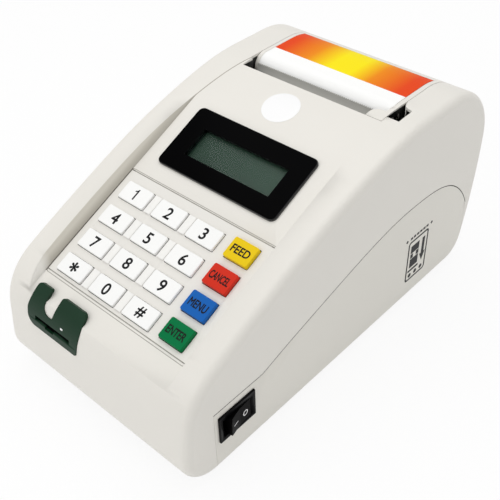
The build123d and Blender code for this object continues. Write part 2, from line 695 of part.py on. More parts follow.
READER_FRONT = NOSE_Y + WALL + READER_INSET


def card_plane():
    """Plane over the nose that the card bezel's outline is drawn on: x across, y up the nose."""
    slope = radians(CARD_TILT)
    foot_y = NOSE_Y + (CARD_FOOT - FLOOR_Z - NOSE_ROUND) * tan(radians(NOSE_LEAN))
    return Plane(origin=(0, foot_y, CARD_FOOT), x_dir=(1, 0, 0), z_dir=(0, -sin(slope), cos(slope)))


def card_outline():
    """Outline of the card bezel: a left horn, a slanted thumb notch and a broad right lobe."""
    left, right = CARD_LEFT, CARD_LEFT + CARD_WIDTH
    top = CARD_HEIGHT
    corners = [
        (left + 0.8, 0, 4.5),
        (left, top * 0.36, 6.0),
        (left + 3.6, top, 2.4),
        (left + 11.9, top, 0.8),
        (left + 9.8, top * 0.43, 4.0),
        (left + 16.6, top * 0.42, 1.2),
        (left + 19.5, top, 1.6),
        (right, top, 2.4),
        (right - 0.3, top * 0.5, 8.0),
        (right - 1.6, 0, 1.8),
    ]
    face = make_face(Polyline(*[(x, y) for x, y, radius in corners], close=True))
    for x, y, radius in corners:
        corner = face.vertices().sort_by_distance((x, y, 0))[0]
        face = fillet(corner, radius)
    return face


def card_prism(grow):
    """The card bezel's outline drawn out square to the nose."""
    sheet = card_outline() if grow == 0 else offset(card_outline(), amount=grow)
    reach = 3 * NOSE_FACE / 2
    return extrude(card_plane() * sheet, amount=reach, both=True)


def card_slot():
    """Mouth of the card slot, with its keyway in the lower side."""
    half, keyway_half = CARD_SLOT_WIDTH / 2, CARD_KEYWAY / 2
    front, back = NOSE_Y - CARD_PROUD, READER_FRONT + READER_DEPTH
    low, high = CARD_SLOT_Z - CARD_SLOT_HEIGHT / 2, CARD_SLOT_Z + CARD_SLOT_HEIGHT / 2
    slot = block(CARD_SLOT_X - half, CARD_SLOT_X + half, front, back, low, high)
    keyway_x = CARD_SLOT_X + CARD_KEYWAY_SHIFT
    slot += block(keyway_x - keyway_half, keyway_x + keyway_half, front, back, low - CARD_KEYWAY_DROP, high)
    return slot


def make_card_bezel():
    """Green bezel that follows the nose, standing a little proud of it."""
    prism = card_prism(0)
    return (prism & case_block(-CARD_PROUD, 0)) - case_block(CARD_SEAT, 0) - card_slot()


def make_card_reader():
    """Card socket on its small board."""
    half, throat_half = READER_WIDTH / 2, CARD_THROAT / 2
    low = CARD_SLOT_Z - READER_HEIGHT / 2
    back = READER_FRONT + READER_DEPTH
    socket = block(CARD_SLOT_X - half, CARD_SLOT_X + half, READER_FRONT, back, low, low + READER_HEIGHT)
    board_half = half + READER_BOARD_MARGIN
    board = block(CARD_SLOT_X - board_half, CARD_SLOT_X + board_half, READER_FRONT + 1, back + 1,
                  low - BOARD_THICK, low)
    throat = block(CARD_SLOT_X - CARD_SLOT_WIDTH / 2, CARD_SLOT_X + CARD_SLOT_WIDTH / 2, READER_FRONT - 1,
                   back - WALL, CARD_SLOT_Z - throat_half, CARD_SLOT_Z + throat_half)
    return socket + board - throat


def reader_post_places():
    """Posts that carry the card reader's board."""
    y = READER_FRONT + READER_DEPTH - PILLAR_RADIUS
    reach = READER_WIDTH / 2 - READER_BOARD_MARGIN
    return [(CARD_SLOT_X + side * reach, y) for side in (-1, 1)]


# ------------------------------------------------------------------ rocker switch
def switch_block(length, height, x_low, x_high):
    """A block about the switch's centre."""
    return block(x_low, x_high, SWITCH_Y - length / 2, SWITCH_Y + length / 2,
                 SWITCH_Z - height / 2, SWITCH_Z + height / 2)


def make_switch_housing():
    """Switch body and flange, hollowed for the rocker, with its trunnion holes."""
    flange_sheet = Rot(0, 90, 0) * RectangleRounded(SWITCH_HEIGHT, SWITCH_LENGTH, SWITCH_CORNER)
    flange = extrude(Pos(HALF_WIDTH, SWITCH_Y, SWITCH_Z) * flange_sheet, amount=SWITCH_FLANGE, dir=(1, 0, 0))
    face = flange.faces().sort_by(Axis.X)[-1]
    flange = fillet(face.edges(), SWITCH_FLANGE / 3)
    body = switch_block(SWITCH_BODY_LENGTH, SWITCH_BODY_HEIGHT, HALF_WIDTH - SWITCH_DEPTH, HALF_WIDTH)
    sweep_radius = (ROCKER_HALF_LENGTH ** 2 + ROCKER_CREST ** 2) ** 0.5
    pocket_length = 2 * (sweep_radius + SHAFT_CLEARANCE)
    pocket_floor = PIVOT_X - ROCKER_BASE - ROCKER_HALF_LENGTH * sin(radians(ROCKER_TILT)) - 2 * SHAFT_CLEARANCE
    pocket = switch_block(pocket_length, ROCKER_HEIGHT + 2 * FIT_GAP, pocket_floor, HALF_WIDTH + 5)
    hole_reach = ROCKER_HEIGHT / 2 + TRUNNION_LENGTH + SHAFT_CLEARANCE
    hole = column(PIVOT_X, SWITCH_Y, TRUNNION_RADIUS + SHAFT_CLEARANCE, SWITCH_Z - hole_reach,
                  SWITCH_Z + hole_reach)
    blades = switch_block(SWITCH_BODY_LENGTH * 0.6, 1.0, HALF_WIDTH - SWITCH_DEPTH - 6, HALF_WIDTH - SWITCH_DEPTH)
    blades -= switch_block(SWITCH_BODY_LENGTH * 0.3, 2.0, HALF_WIDTH - SWITCH_DEPTH - 7,
                           HALF_WIDTH - SWITCH_DEPTH)
    return flange + body + blades - pocket - hole


def make_switch_rocker():
    """Rocker with a shallow valley, rear end pressed in, on two trunnions."""
    half = ROCKER_HALF_LENGTH
    points = [
        (ROCKER_CREST, -half),
        (ROCKER_VALLEY, 0),
        (ROCKER_CREST, half),
        (-ROCKER_BASE / 2, half * 0.95),
        (-ROCKER_BASE, half * 0.4),
        (-ROCKER_BASE, -half * 0.4),
        (-ROCKER_BASE / 2, -half * 0.95),
    ]
    side = make_face(Polyline(*points, close=True))
    rocker = extrude(Pos(0, 0, -ROCKER_HEIGHT / 2) * side, amount=ROCKER_HEIGHT, dir=(0, 0, 1))
    crests = [edge for edge in rocker.edges().filter_by(Axis.Z) if edge.center().X > ROCKER_CREST - 0.1]
    rocker = fillet(crests, ROCKER_EDGE)
    rocker += Cylinder(TRUNNION_RADIUS, ROCKER_HEIGHT + 2 * TRUNNION_LENGTH)
    return Pos(PIVOT_X, SWITCH_Y, SWITCH_Z) * Rot(0, 0, ROCKER_TILT) * rocker


# ------------------------------------------------------------------ paper lid
def outline_band(low, high, y_low, y_high):
    """The strip between two insets of the case outline, over y_low to y_high and near the top."""
    window = Pos((y_low + y_high) / 2, BODY_HEIGHT) * Rectangle(y_high - y_low, BODY_HEIGHT)
    return (case_outline(low) - case_outline(high)) & window


def curl_band(outer_radius, inner_radius, wrap):
    """The round nose's wall: from straight up, round the front, and wrap degrees in under."""
    ring = Circle(outer_radius) - Circle(inner_radius)
    reach = 3 * outer_radius
    keep = Pos(-reach / 2, 0) * Rectangle(reach, 2 * reach)
    under = [heading(180 + wrap), heading(225 + wrap / 2), heading(270)]
    cut = make_face(Polyline((0, 0), *[(reach * y, reach * z) for y, z in under], close=True))
    return Pos(CURL_Y, CURL_Z) * ((ring & keep) - cut)


def make_paper_lid():
    """Hinged lid: skin under the paper, rails beside it, curled nose, right lobe and barrel."""
    sunk = PAPER_THICK + PAPER_GAP
    skin_radius = NOSE_ROLL_RADIUS - sunk
    bed_left, bed_right = PAPER_LEFT - PAPER_MARGIN, PAPER_RIGHT + PAPER_MARGIN
    bed = outline_band(sunk, LID_WALL, CURL_Y, LID_EDGE_Y)
    bed += curl_band(skin_radius, skin_radius - LID_WALL + sunk, NOSE_ROLL_WRAP)
    lid = side_bar(bed, LID_LEFT, LID_RIGHT)
    rail = outline_band(0, LID_WALL, CURL_Y, LID_EDGE_Y)
    rail += curl_band(NOSE_ROLL_RADIUS, skin_radius - LID_WALL + sunk, NOSE_ROLL_WRAP)
    lid += side_bar(rail, LID_LEFT, bed_left)
    lid += side_bar(rail, bed_right, LID_RIGHT)
    tail_fill = outline_band(0, LID_WALL, TAIL_Y - STRIP_BACK + PAPER_MARGIN, LID_EDGE_Y)
    lid += side_bar(tail_fill, LID_LEFT, LID_RIGHT)

    skirt_front = TAIL_Y - LID_SKIRT_FRONT
    skirt = outline_band(LID_WALL / 2, LID_SKIRT_DEPTH, skirt_front, PIN_Y - BARREL_RADIUS / 2)
    lid += side_bar(skirt, LID_LEFT, LID_LEFT + LID_SKIRT)
    lid += side_bar(skirt, LID_RIGHT - LID_SKIRT, LID_RIGHT)

    lobe_front = OPENING_Y + LID_CLEARANCE
    lobe_side = Pos((lobe_front + CURL_Y) / 2, (LOBE_FOOT_Z + 2 * BODY_HEIGHT) / 2) * Rectangle(
        CURL_Y - lobe_front, 2 * BODY_HEIGHT - LOBE_FOOT_Z)
    lobe_side = lobe_side & case_outline(0)
    rim_side = lobe_side & (Pos(CURL_Y, BODY_HEIGHT) * Rectangle(BODY_HEIGHT, 2 * LID_RIM_DROP))
    rim = side_bar(rim_side, bed_right, LID_RIGHT)
    lobe_back = TAIL_Y - LOBE_BACK
    lobe = side_bar(lobe_side, LOBE_LEFT, bed_right)
    plan_middle = (LOBE_LEFT + LID_RIGHT + LOBE_ROUND) / 2
    plan_width = LID_RIGHT + LOBE_ROUND - LOBE_LEFT
    reach = lobe_back - lobe_front
    plan = Pos(plan_middle, lobe_back - reach) * RectangleRounded(plan_width, 2 * reach, LOBE_ROUND)
    lobe = lobe & extrude(plan, amount=2 * BODY_HEIGHT, dir=(0, 0, 1))
    lobe -= side_rod(CURL_Y, CURL_Z, NOSE_ROLL_RADIUS + PAPER_MARGIN, LOBE_LEFT - 1, bed_right)
    lid += rim + lobe

    lid += side_rod(PIN_Y, PIN_Z, BARREL_RADIUS, LID_LEFT, LID_RIGHT)
    lid -= side_rod(PIN_Y, PIN_Z, PIN_RADIUS + SHAFT_CLEARANCE, LID_LEFT - 1, LID_RIGHT + 1)
    return lid


def make_ticket_strip():
    """Printed ticket: up behind the tear bar, over the nose and back along the lid."""
    radius = NOSE_ROLL_RADIUS
    front = CURL_Y - radius
    rise = Pos(front + PAPER_THICK / 2, (STRIP_FOOT_Z + CURL_Z) / 2) * Rectangle(
        PAPER_THICK, CURL_Z - STRIP_FOOT_Z)
    strip = rise + curl_band(radius, radius - PAPER_THICK, 0)
    strip += outline_band(0, PAPER_THICK, CURL_Y, TAIL_Y - STRIP_BACK)
    return side_bar(strip, PAPER_LEFT, PAPER_RIGHT)


def make_hinge_pin():
    """Steel pin through the lid's barrel and both ears."""
    return side_rod(PIN_Y, PIN_Z, PIN_RADIUS, LID_HOLE_LEFT - EAR_LENGTH, LID_HOLE_RIGHT + EAR_LENGTH)


# ------------------------------------------------------------------ paper roll and well
def make_paper_roll():
    """Full paper roll round its core."""
    roll = side_rod(ROLL_Y, ROLL_Z, ROLL_RADIUS, PAPER_LEFT, PAPER_RIGHT)
    return roll - side_rod(ROLL_Y, ROLL_Z, CORE_RADIUS, PAPER_LEFT, PAPER_RIGHT)


def make_paper_core():
    """Cardboard tube in the roll."""
    core = side_rod(ROLL_Y, ROLL_Z, CORE_RADIUS, PAPER_LEFT, PAPER_RIGHT)
    return core - side_rod(ROLL_Y, ROLL_Z, CORE_RADIUS - CORE_WALL, PAPER_LEFT, PAPER_RIGHT)


def make_roll_spindle():
    """Spindle through the core, resting in the cheeks' slots."""
    radius = CORE_RADIUS - CORE_WALL - SHAFT_CLEARANCE
    body = side_rod(ROLL_Y, ROLL_Z, radius, CHEEK_LEFT + SPINDLE_END_GAP, CHEEK_RIGHT - SPINDLE_END_GAP)
    tips = side_rod(ROLL_Y, ROLL_Z, SPINDLE_TIP, CHEEK_LEFT - CHEEK_WALL, CHEEK_RIGHT + CHEEK_WALL)
    return body + tips


def make_paper_well():
    """Trough under the roll between two slotted cheeks that stand on the base."""
    inner = ROLL_RADIUS + WELL_CLEARANCE
    outer = inner + WELL_WALL
    ring = Circle(outer) - Circle(inner)
    reach = 2 * outer
    drop = reach * tan(radians(WELL_REACH))
    below = make_face(Polyline((0, 0), (-reach, -drop), (-reach, -reach), (reach, -reach), (reach, -drop),
                               close=True))
    well = side_bar(Pos(ROLL_Y, ROLL_Z) * (ring & below), CHEEK_LEFT, CHEEK_RIGHT)
    front, back = TAIL_Y - CHEEK_FRONT, TAIL_Y - CHEEK_BACK
    height = CHEEK_TOP - FLOOR_TOP
    cheek = Pos((front + back) / 2, FLOOR_TOP + height / 2) * Rectangle(back - front, height)
    slot = SPINDLE_TIP + SHAFT_CLEARANCE
    cheek -= Pos(ROLL_Y, ROLL_Z) * Circle(slot)
    cheek -= Pos(ROLL_Y, ROLL_Z + height / 2) * Rectangle(2 * slot, height)
    cheeks = side_bar(cheek, CHEEK_LEFT - CHEEK_WALL, CHEEK_LEFT)
    cheeks += side_bar(cheek, CHEEK_RIGHT, CHEEK_RIGHT + CHEEK_WALL)
    tab_back = front + WELL_TAB
    left_tab = CHEEK_LEFT - CHEEK_WALL
    right_tab = CHEEK_RIGHT + CHEEK_WALL
    cheeks += block(left_tab - WELL_TAB, left_tab, front, tab_back, FLOOR_TOP, FLOOR_TOP + WELL_WALL)
    cheeks += block(right_tab, right_tab + WELL_TAB, front, tab_back, FLOOR_TOP, FLOOR_TOP + WELL_WALL)
    for x, y in well_screw_places():
        cheeks -= column(x, y, SCREW_RADIUS + FIT_GAP, FLOOR_Z, 2 * FLOOR_TOP)
    return (well + cheeks) & case_block(WALL, 0)


def well_screw_places():
    """Screws through the well's two tabs."""
    y = TAIL_Y - CHEEK_FRONT + WELL_TAB / 2
    left = CHEEK_LEFT - CHEEK_WALL - WELL_TAB / 2
    right = CHEEK_RIGHT + CHEEK_WALL + WELL_TAB / 2
    return [(left, y), (right, y)]


# ------------------------------------------------------------------ print mechanism
def side_plate_sketch():
    """Outline of a side plate of the print mechanism."""
    front, back = TAIL_Y - FRAME_FRONT, TAIL_Y - FRAME_BACK
    shoulder = FRAME_WALL_Y - HEAD_SPRING_LENGTH
    points = [
        (front, FRAME_FLOOR),
        (back, FRAME_FLOOR),
        (back, PLATEN_Z - PLATEN_RADIUS),
        (back - PLATEN_RADIUS, FRAME_TOP),
        (shoulder, FRAME_TOP),
        (front, FRAME_TOP - FRAME_FLANGE),
    ]
    return make_face(Polyline(*points, close=True))


def make_mechanism_frame():
    """Folded steel frame: two side plates, a floor, a front wall and screw flanges."""
    left_out, right_out = SIDE_LEFT - FRAME_WALL, SIDE_RIGHT + FRAME_WALL
    front = TAIL_Y - FRAME_FRONT
    frame = side_bar(side_plate_sketch(), left_out, SIDE_LEFT)
    frame += side_bar(side_plate_sketch(), SIDE_RIGHT, right_out)
    floor_back = PLATEN_Y - 2
    frame += block(left_out, right_out, front, floor_back, FRAME_FLOOR, FRAME_FLOOR + FRAME_WALL)
    wall_y = FRAME_WALL_Y
    frame += block(left_out, right_out, wall_y - FRAME_WALL, wall_y, FRAME_FLOOR, FRAME_TOP - FRAME_WALL)
    for x, y in pillar_places():
        flange = block(left_out - FRAME_FLANGE, right_out + FRAME_FLANGE, y - FRAME_FLANGE / 2,
                       y + FRAME_FLANGE / 2, FRAME_FLOOR, FRAME_FLOOR + FRAME_WALL)
        flange = flange & block(min(0, 2 * x), max(0, 2 * x), y - FAR, y + FAR, 0, FAR)
        if y > floor_back - FRAME_FLANGE:
            flange -= block(SIDE_LEFT, SIDE_RIGHT, floor_back, y + FAR, 0, FAR)
        frame += flange
    for x, y in pillar_places():
        frame -= column(x, y, SCREW_RADIUS + FIT_GAP, FRAME_FLOOR - 1, FRAME_FLOOR + 3)
    frame -= side_rod(PLATEN_Y, PLATEN_Z, PLATEN_SHAFT + BUSH_WALL, left_out - 1, right_out + 1)
    motor_y, motor_z = MOTOR_CENTRE
    frame -= side_rod(motor_y, motor_z, MOTOR_BOSS, left_out - 1, SIDE_LEFT + 1)
    return frame


def step_from(place, angle, distance):
    """A point at an angle and distance from another, in (y, z)."""
    along = heading(angle)
    return (place[0] + distance * along[0], place[1] + distance * along[1])


PLATEN_CENTRE = (PLATEN_Y, PLATEN_Z)
REDUCER_CENTRE = step_from(PLATEN_CENTRE, REDUCER_ANGLE, GEAR_MODULE * (PLATEN_TEETH + REDUCER_TEETH) / 2)
MOTOR_CENTRE = step_from(REDUCER_CENTRE, PINION_ANGLE, GEAR_MODULE * (REDUCER_TEETH + PINION_TEETH) / 2)
MOTOR_BOSS = 2.5


def gear_sketch(teeth):
    """Involute gear outline with a tooth on the first axis."""
    pitch = GEAR_MODULE * teeth / 2
    base = pitch * cos(radians(PRESSURE_ANGLE))
    tip = pitch + GEAR_ADDENDUM * GEAR_MODULE
    root = pitch - GEAR_DEDENDUM * GEAR_MODULE
    half_tooth = (pi * GEAR_MODULE / 2 - GEAR_BACKLASH) / (2 * pitch)

    def involute(radius):
        roll = acos(min(1.0, base / radius))
        return tan(roll) - roll

    at_pitch = involute(pitch)
    start = max(base, root)
    radii = [start + (tip - start) * step / FLANK_STEPS for step in range(FLANK_STEPS + 1)]
    flank = [(radius, half_tooth + at_pitch - involute(radius)) for radius in radii]
    if base > root:
        flank.insert(0, (root, flank[0][1]))
    points = []
    for tooth in range(teeth):
        middle = 2 * pi * tooth / teeth
        rising = [(radius, middle - spread) for radius, spread in flank]
        falling = [(radius, middle + spread) for radius, spread in reversed(flank)]
        points += [(radius * cos(angle), radius * sin(angle)) for radius, angle in rising + falling]
    return make_face(Polyline(*points, close=True))


def gear_phases():
    """Turn of each gear, in degrees, that puts the train in mesh."""
    platen = REDUCER_ANGLE
    reducer = REDUCER_ANGLE + 180 + 180 / REDUCER_TEETH
    pitch = 360 / REDUCER_TEETH
    lead = (reducer - PINION_ANGLE + pitch / 2) % pitch - pitch / 2
    pinion = PINION_ANGLE + 180 - lead * REDUCER_TEETH / PINION_TEETH + 180 / PINION_TEETH
    return platen, reducer, pinion


def gear_at(place, teeth, phase, bore):
    """A gear outside the left side plate."""
    sketch = Pos(*place) * Rot(0, 0, phase) * gear_sketch(teeth)
    gear = side_bar(sketch, GEAR_X - GEAR_WIDTH, GEAR_X)
    return gear - side_rod(*place, bore, GEAR_X - GEAR_WIDTH - 1, GEAR_X + 1)


def make_platen_shaft():
    """Steel shaft of the platen."""
    return side_rod(*PLATEN_CENTRE, PLATEN_SHAFT, GEAR_X - GEAR_WIDTH, SIDE_RIGHT + FRAME_WALL + 1.5)


def make_platen_sleeve():
    """Rubber sleeve of the platen."""
    ends = (PAPER_LEFT - SLEEVE_OVERHANG, PAPER_RIGHT + SLEEVE_OVERHANG)
    return side_rod(*PLATEN_CENTRE, PLATEN_RADIUS, *ends) - side_rod(*PLATEN_CENTRE, PLATEN_SHAFT, *ends)


def make_platen_bushes():
    """Two bushes that carry the platen shaft in the side plates."""
    outer = PLATEN_SHAFT + BUSH_WALL
    spans = [(SIDE_LEFT - FRAME_WALL, SIDE_LEFT + BUSH_STAND), (SIDE_RIGHT - BUSH_STAND, SIDE_RIGHT + FRAME_WALL)]
    bushes = [side_rod(*PLATEN_CENTRE, outer, *span) for span in spans]
    bore = side_rod(*PLATEN_CENTRE, PLATEN_SHAFT + SHAFT_CLEARANCE, -FAR / 2, FAR / 2)
    return Compound(children=[bush - bore for bush in bushes])


def make_reducer_stud():
    """Stud that the reduction gear turns on, riveted to the side plate."""
    stud = side_rod(*REDUCER_CENTRE, STUD_RADIUS, GEAR_X - GEAR_WIDTH - GEAR_GAP, SIDE_LEFT - FRAME_WALL)
    stud += side_rod(*REDUCER_CENTRE, STUD_RADIUS * 1.6, GEAR_X + SHAFT_CLEARANCE, SIDE_LEFT - FRAME_WALL)
    stud += side_rod(*REDUCER_CENTRE, STUD_RADIUS * 1.6, GEAR_X - GEAR_WIDTH - GEAR_GAP,
                     GEAR_X - GEAR_WIDTH - SHAFT_CLEARANCE)
    return stud


def make_motor_pinion():
    """Brass pinion on the motor's shaft."""
    pinion = gear_at(MOTOR_CENTRE, PINION_TEETH, gear_phases()[2], MOTOR_SHAFT)
    shaft = side_rod(*MOTOR_CENTRE, MOTOR_SHAFT, GEAR_X - GEAR_WIDTH, SIDE_LEFT + MOTOR_LENGTH / 2)
    return pinion + shaft


def make_feed_motor():
    """Stepper motor on the inside of the left side plate."""
    can = side_rod(*MOTOR_CENTRE, MOTOR_RADIUS, SIDE_LEFT, SIDE_LEFT + MOTOR_LENGTH)
    boss = side_rod(*MOTOR_CENTRE, MOTOR_BOSS - FIT_GAP, SIDE_LEFT - FRAME_WALL, SIDE_LEFT)
    bore = side_rod(*MOTOR_CENTRE, MOTOR_SHAFT + SHAFT_CLEARANCE, SIDE_LEFT - 2 * FRAME_WALL,
                    SIDE_LEFT + MOTOR_LENGTH / 2 + SHAFT_CLEARANCE)
    return can + boss - bore


def make_print_head():
    """Ceramic head strip that faces the platen."""
    return block(PAPER_LEFT, PAPER_RIGHT, HEAD_Y - HEAD_THICK, HEAD_Y, PLATEN_Z - HEAD_HEIGHT / 2,
                 PLATEN_Z + HEAD_HEIGHT / 2)


def make_heat_sink():
    """Aluminium heat sink behind the head, with upright fins between its springs."""
    foot = SINK_TOP - SINK_HEIGHT
    sink = block(PAPER_LEFT, PAPER_RIGHT, SINK_Y + SINK_THICK / 2, HEAD_Y - HEAD_THICK, foot, SINK_TOP)
    spread = PAPER_WIDTH / 2
    for fin in range(SINK_FINS):
        x = PAPER_CENTRE - spread / 2 + spread * fin / (SINK_FINS - 1)
        sink += block(x - FRAME_WALL, x + FRAME_WALL, SINK_Y, SINK_Y + SINK_THICK, foot, SINK_TOP)
    for x in head_spring_places():
        sink += block(x - HEAD_SPRING_RADIUS, x + HEAD_SPRING_RADIUS, SINK_Y, SINK_Y + SINK_THICK, foot,
                      SINK_TOP)
    lug = block(PAPER_LEFT, PAPER_RIGHT, SINK_Y, SINK_Y + SINK_THICK, foot - 2 * SINK_THICK, foot)
    pivot_y, pivot_z = SINK_Y + SINK_THICK / 2, foot - SINK_THICK
    sink += lug - side_rod(pivot_y, pivot_z, HEAD_PIVOT + SHAFT_CLEARANCE, PAPER_LEFT - 1, PAPER_RIGHT + 1)
    return sink


def make_head_pivot():
    """Rod that the heat sink hangs on, between the side plates."""
    foot = SINK_TOP - SINK_HEIGHT
    return side_rod(SINK_Y + SINK_THICK / 2, foot - SINK_THICK, HEAD_PIVOT, SIDE_LEFT, SIDE_RIGHT)


def head_spring_places():
    """Across the head, where its two springs push."""
    return [PAPER_CENTRE - PAPER_WIDTH * 0.36, PAPER_CENTRE + PAPER_WIDTH * 0.36]


def make_head_springs():
    """Two coil springs between the frame's front wall and the heat sink."""
    length = HEAD_SPRING_LENGTH - HEAD_SPRING_WIRE - 2 * SHAFT_CLEARANCE
    pitch = length / HEAD_SPRING_TURNS
    mean = HEAD_SPRING_RADIUS - HEAD_SPRING_WIRE / 2
    path = Helix(pitch, length, mean)
    section = Plane(origin=path @ 0, z_dir=path % 0) * Rectangle(HEAD_SPRING_WIRE, HEAD_SPRING_WIRE)
    coil = sweep(section, path=path, is_frenet=True)
    start = FRAME_WALL_Y + HEAD_SPRING_WIRE / 2 + SHAFT_CLEARANCE
    springs = [Pos(x, start, PLATEN_Z) * Rot(-90, 0, 0) * coil for x in head_spring_places()]
    return Compound(children=springs)


def make_tear_bar():
    """Curved steel tear bar with a toothed top edge, on a flange over the front wall."""
    tip = (CURL_Y - NOSE_ROLL_RADIUS - PAPER_MARGIN, TEAR_BAR_TOP)
    knee = (tip[0] - TEAR_BAR_BOW, FRAME_TOP - FRAME_WALL + TEAR_BAR_WALL)
    middle = ((tip[0] * 2 + knee[0]) / 3, (tip[1] + knee[1]) / 2)
    face = ThreePointArc(tip, middle, knee)
    back = ThreePointArc((tip[0] - TEAR_BAR_WALL, tip[1]), (middle[0] - TEAR_BAR_WALL, middle[1]),
                         (knee[0] - TEAR_BAR_WALL, knee[1]))
    top = Line(tip, (tip[0] - TEAR_BAR_WALL, tip[1]))
    foot = Line(knee, (knee[0] - TEAR_BAR_WALL, knee[1]))
    blade = make_face(Wire([edge.edge() for edge in (face, back, top, foot)]).edges())
    flange_back, flange_front = knee[0], FRAME_WALL_Y - 2 * FRAME_WALL
    flange = Pos((flange_back + flange_front) / 2, knee[1] - TEAR_BAR_WALL / 2) * Rectangle(
        flange_back - flange_front, TEAR_BAR_WALL)
    bar = side_bar(blade + flange, TEAR_BAR_LEFT, TEAR_BAR_RIGHT)
    teeth = int((TEAR_BAR_RIGHT - TEAR_BAR_LEFT) / TOOTH_PITCH)
    notch_face = make_face(Polyline((-TOOTH_PITCH / 2, TOOTH_HEIGHT), (0, -TOOTH_HEIGHT),
                                    (TOOTH_PITCH / 2, TOOTH_HEIGHT), close=True))
    notches = [Pos(TEAR_BAR_LEFT + TOOTH_PITCH * (number + 1), 0) * notch_face for number in range(teeth)]
    comb = Sketch() + notches
    comb = extrude(Pos(0, tip[0] + 1, TEAR_BAR_TOP) * (Plane.XZ * comb), amount=2 + TEAR_BAR_WALL,
                   dir=(0, -1, 0))
    return bar - comb


# ------------------------------------------------------------------ boards, power and fixings
def board_screw_places():
    """Screws through the main board into its standoffs."""
    rows = (NOSE_Y + MAIN_BOARD_FRONT + 5, TAIL_Y - MAIN_BOARD_BACK - 6)
    return [(side * (MAIN_BOARD_WIDTH / 2 - 4), y) for side in (-1, 1) for y in rows]


def make_main_board():
    """Main circuit board on the base's standoffs."""
    half = MAIN_BOARD_WIDTH / 2
    board = block(-half, half, NOSE_Y + MAIN_BOARD_FRONT, TAIL_Y - MAIN_BOARD_BACK, MAIN_BOARD_Z, BOARD_TOP)
    for x, y in board_screw_places():
        board -= column(x, y, SCREW_RADIUS + FIT_GAP, 0, 2 * BOARD_TOP)
    return board


def make_board_parts():
    """Main parts on the board: processor, memory, driver, coil, capacitors, clock cell, plugs."""
    front = NOSE_Y + MAIN_BOARD_FRONT
    chips = [(0, 34, 20, 20, 1.8), (24, 34, 12, 8, 1.5), (-24, 30, 14, 10, 2.0), (-24, 52, 12, 12, 6.0),
             (8, 7, 36, 5, 8.0), (-22, 10, 12, 6, 7.0), (10, 60, 10, 6, 1.5), (26, 58, 9, 9, 2.5)]
    parts = [block(x - w / 2, x + w / 2, front + y - d / 2, front + y + d / 2, BOARD_TOP, BOARD_TOP + h)
             for x, y, w, d, h in chips]
    cans = [(-8, 62, 5.0, 12.0), (-20, 70, 4.0, 11.0), (28, 76, 4.0, 10.0), (22, 18, 8.0, 3.6)]
    parts += [column(x, front + y, radius, BOARD_TOP, BOARD_TOP + height) for x, y, radius, height in cans]
    return Compound(children=parts)


def connector_back():
    """Outer end of the sockets on the board's back edge."""
    return TAIL_Y - CONNECTOR_INSET


def make_power_inlet():
    """Low-voltage power socket on the board's back edge."""
    half = CONNECTOR_SIDE / 2
    back = connector_back()
    body = block(INLET_X - half, INLET_X + half, back - CONNECTOR_LENGTH, back, BOARD_TOP,
                 BOARD_TOP + CONNECTOR_SIDE)
    middle_z = BOARD_TOP + CONNECTOR_SIDE / 2
    hole = Pos(INLET_X, back - 4, middle_z) * Rot(90, 0, 0) * Cylinder(INLET_RADIUS, 10)
    pin = Pos(INLET_X, back - 5.5, middle_z) * Rot(90, 0, 0) * Cylinder(INLET_RADIUS / 3, 9)
    return body - hole + pin


def make_data_port():
    """Data socket on the board's back edge."""
    half = PORT_WIDTH / 2
    back = connector_back()
    body = block(PORT_X - half, PORT_X + half, back - CONNECTOR_LENGTH, back, BOARD_TOP,
                 BOARD_TOP + PORT_HEIGHT)
    mouth = block(PORT_X - half + 1.6, PORT_X + half - 1.6, back - 9, back + 1, BOARD_TOP + 1.6,
                  BOARD_TOP + PORT_HEIGHT - 1.6)
    tongue = block(PORT_X - 2.8, PORT_X + 2.8, back - 9, back - 1, BOARD_TOP + 4, BOARD_TOP + 7)
    return body - mouth + tongue


def make_sounder():
    """Round sounder on the main board."""
    x, y = SOUNDER_X, TAIL_Y - MAIN_BOARD_BACK - SOUNDER_BACK
    sounder = column(x, y, 6, BOARD_TOP, BOARD_TOP + 6)
    return sounder - column(x, y, 1, BOARD_TOP + 4, BOARD_TOP + 7)


def make_battery_pack():
    """Two cells side by side in one wrap."""
    y = NOSE_Y + BATTERY_BACK
    z = FLOOR_TOP + CELL_RADIUS
    half = CELL_LENGTH / 2
    section = Circle(CELL_RADIUS)
    pack = Pos(y - CELL_RADIUS, z) * section + Pos(y + CELL_RADIUS, z) * section
    pack += Pos(y, z) * Rectangle(2 * CELL_RADIUS, 1.7 * CELL_RADIUS)
    return side_bar(pack, -half, half)


def make_screw(x, y, seat, length, upward):
    """Pan-head screw with its head under or over a seat at height seat."""
    turn = 1 if upward else -1
    head_low, head_high = sorted((seat, seat - turn * SCREW_HEAD_THICK))
    shank_low, shank_high = sorted((seat, seat + turn * length))
    screw = column(x, y, SCREW_HEAD, head_low, head_high)
    screw += column(x, y, SCREW_RADIUS, shank_low, shank_high)
    slot_z = seat - turn * SCREW_HEAD_THICK
    cross = block(x - 1.6, x + 1.6, y - 0.3, y + 0.3, slot_z - 0.8, slot_z + 0.8)
    cross += block(x - 0.3, x + 0.3, y - 1.6, y + 1.6, slot_z - 0.8, slot_z + 0.8)
    return screw - cross


def make_case_screws():
    """Four long screws that hold the cover to the base."""
    screws = [make_screw(x, y, CASE_SCREW_SEAT, SCREW_LENGTH, True) for x, y in case_boss_places()]
    return Compound(children=screws)


def make_mechanism_screws():
    """Screws of the print mechanism's flanges."""
    seat = FRAME_FLOOR + FRAME_WALL
    return Compound(children=[make_screw(x, y, seat, SHORT_SCREW, False) for x, y in pillar_places()])


def make_well_screws():
    """Screws of the well's tabs, into the base floor's blind bosses."""
    seat = FLOOR_TOP + WELL_WALL
    return Compound(children=[make_screw(x, y, seat, WELL_WALL + 1, False) for x, y in well_screw_places()])


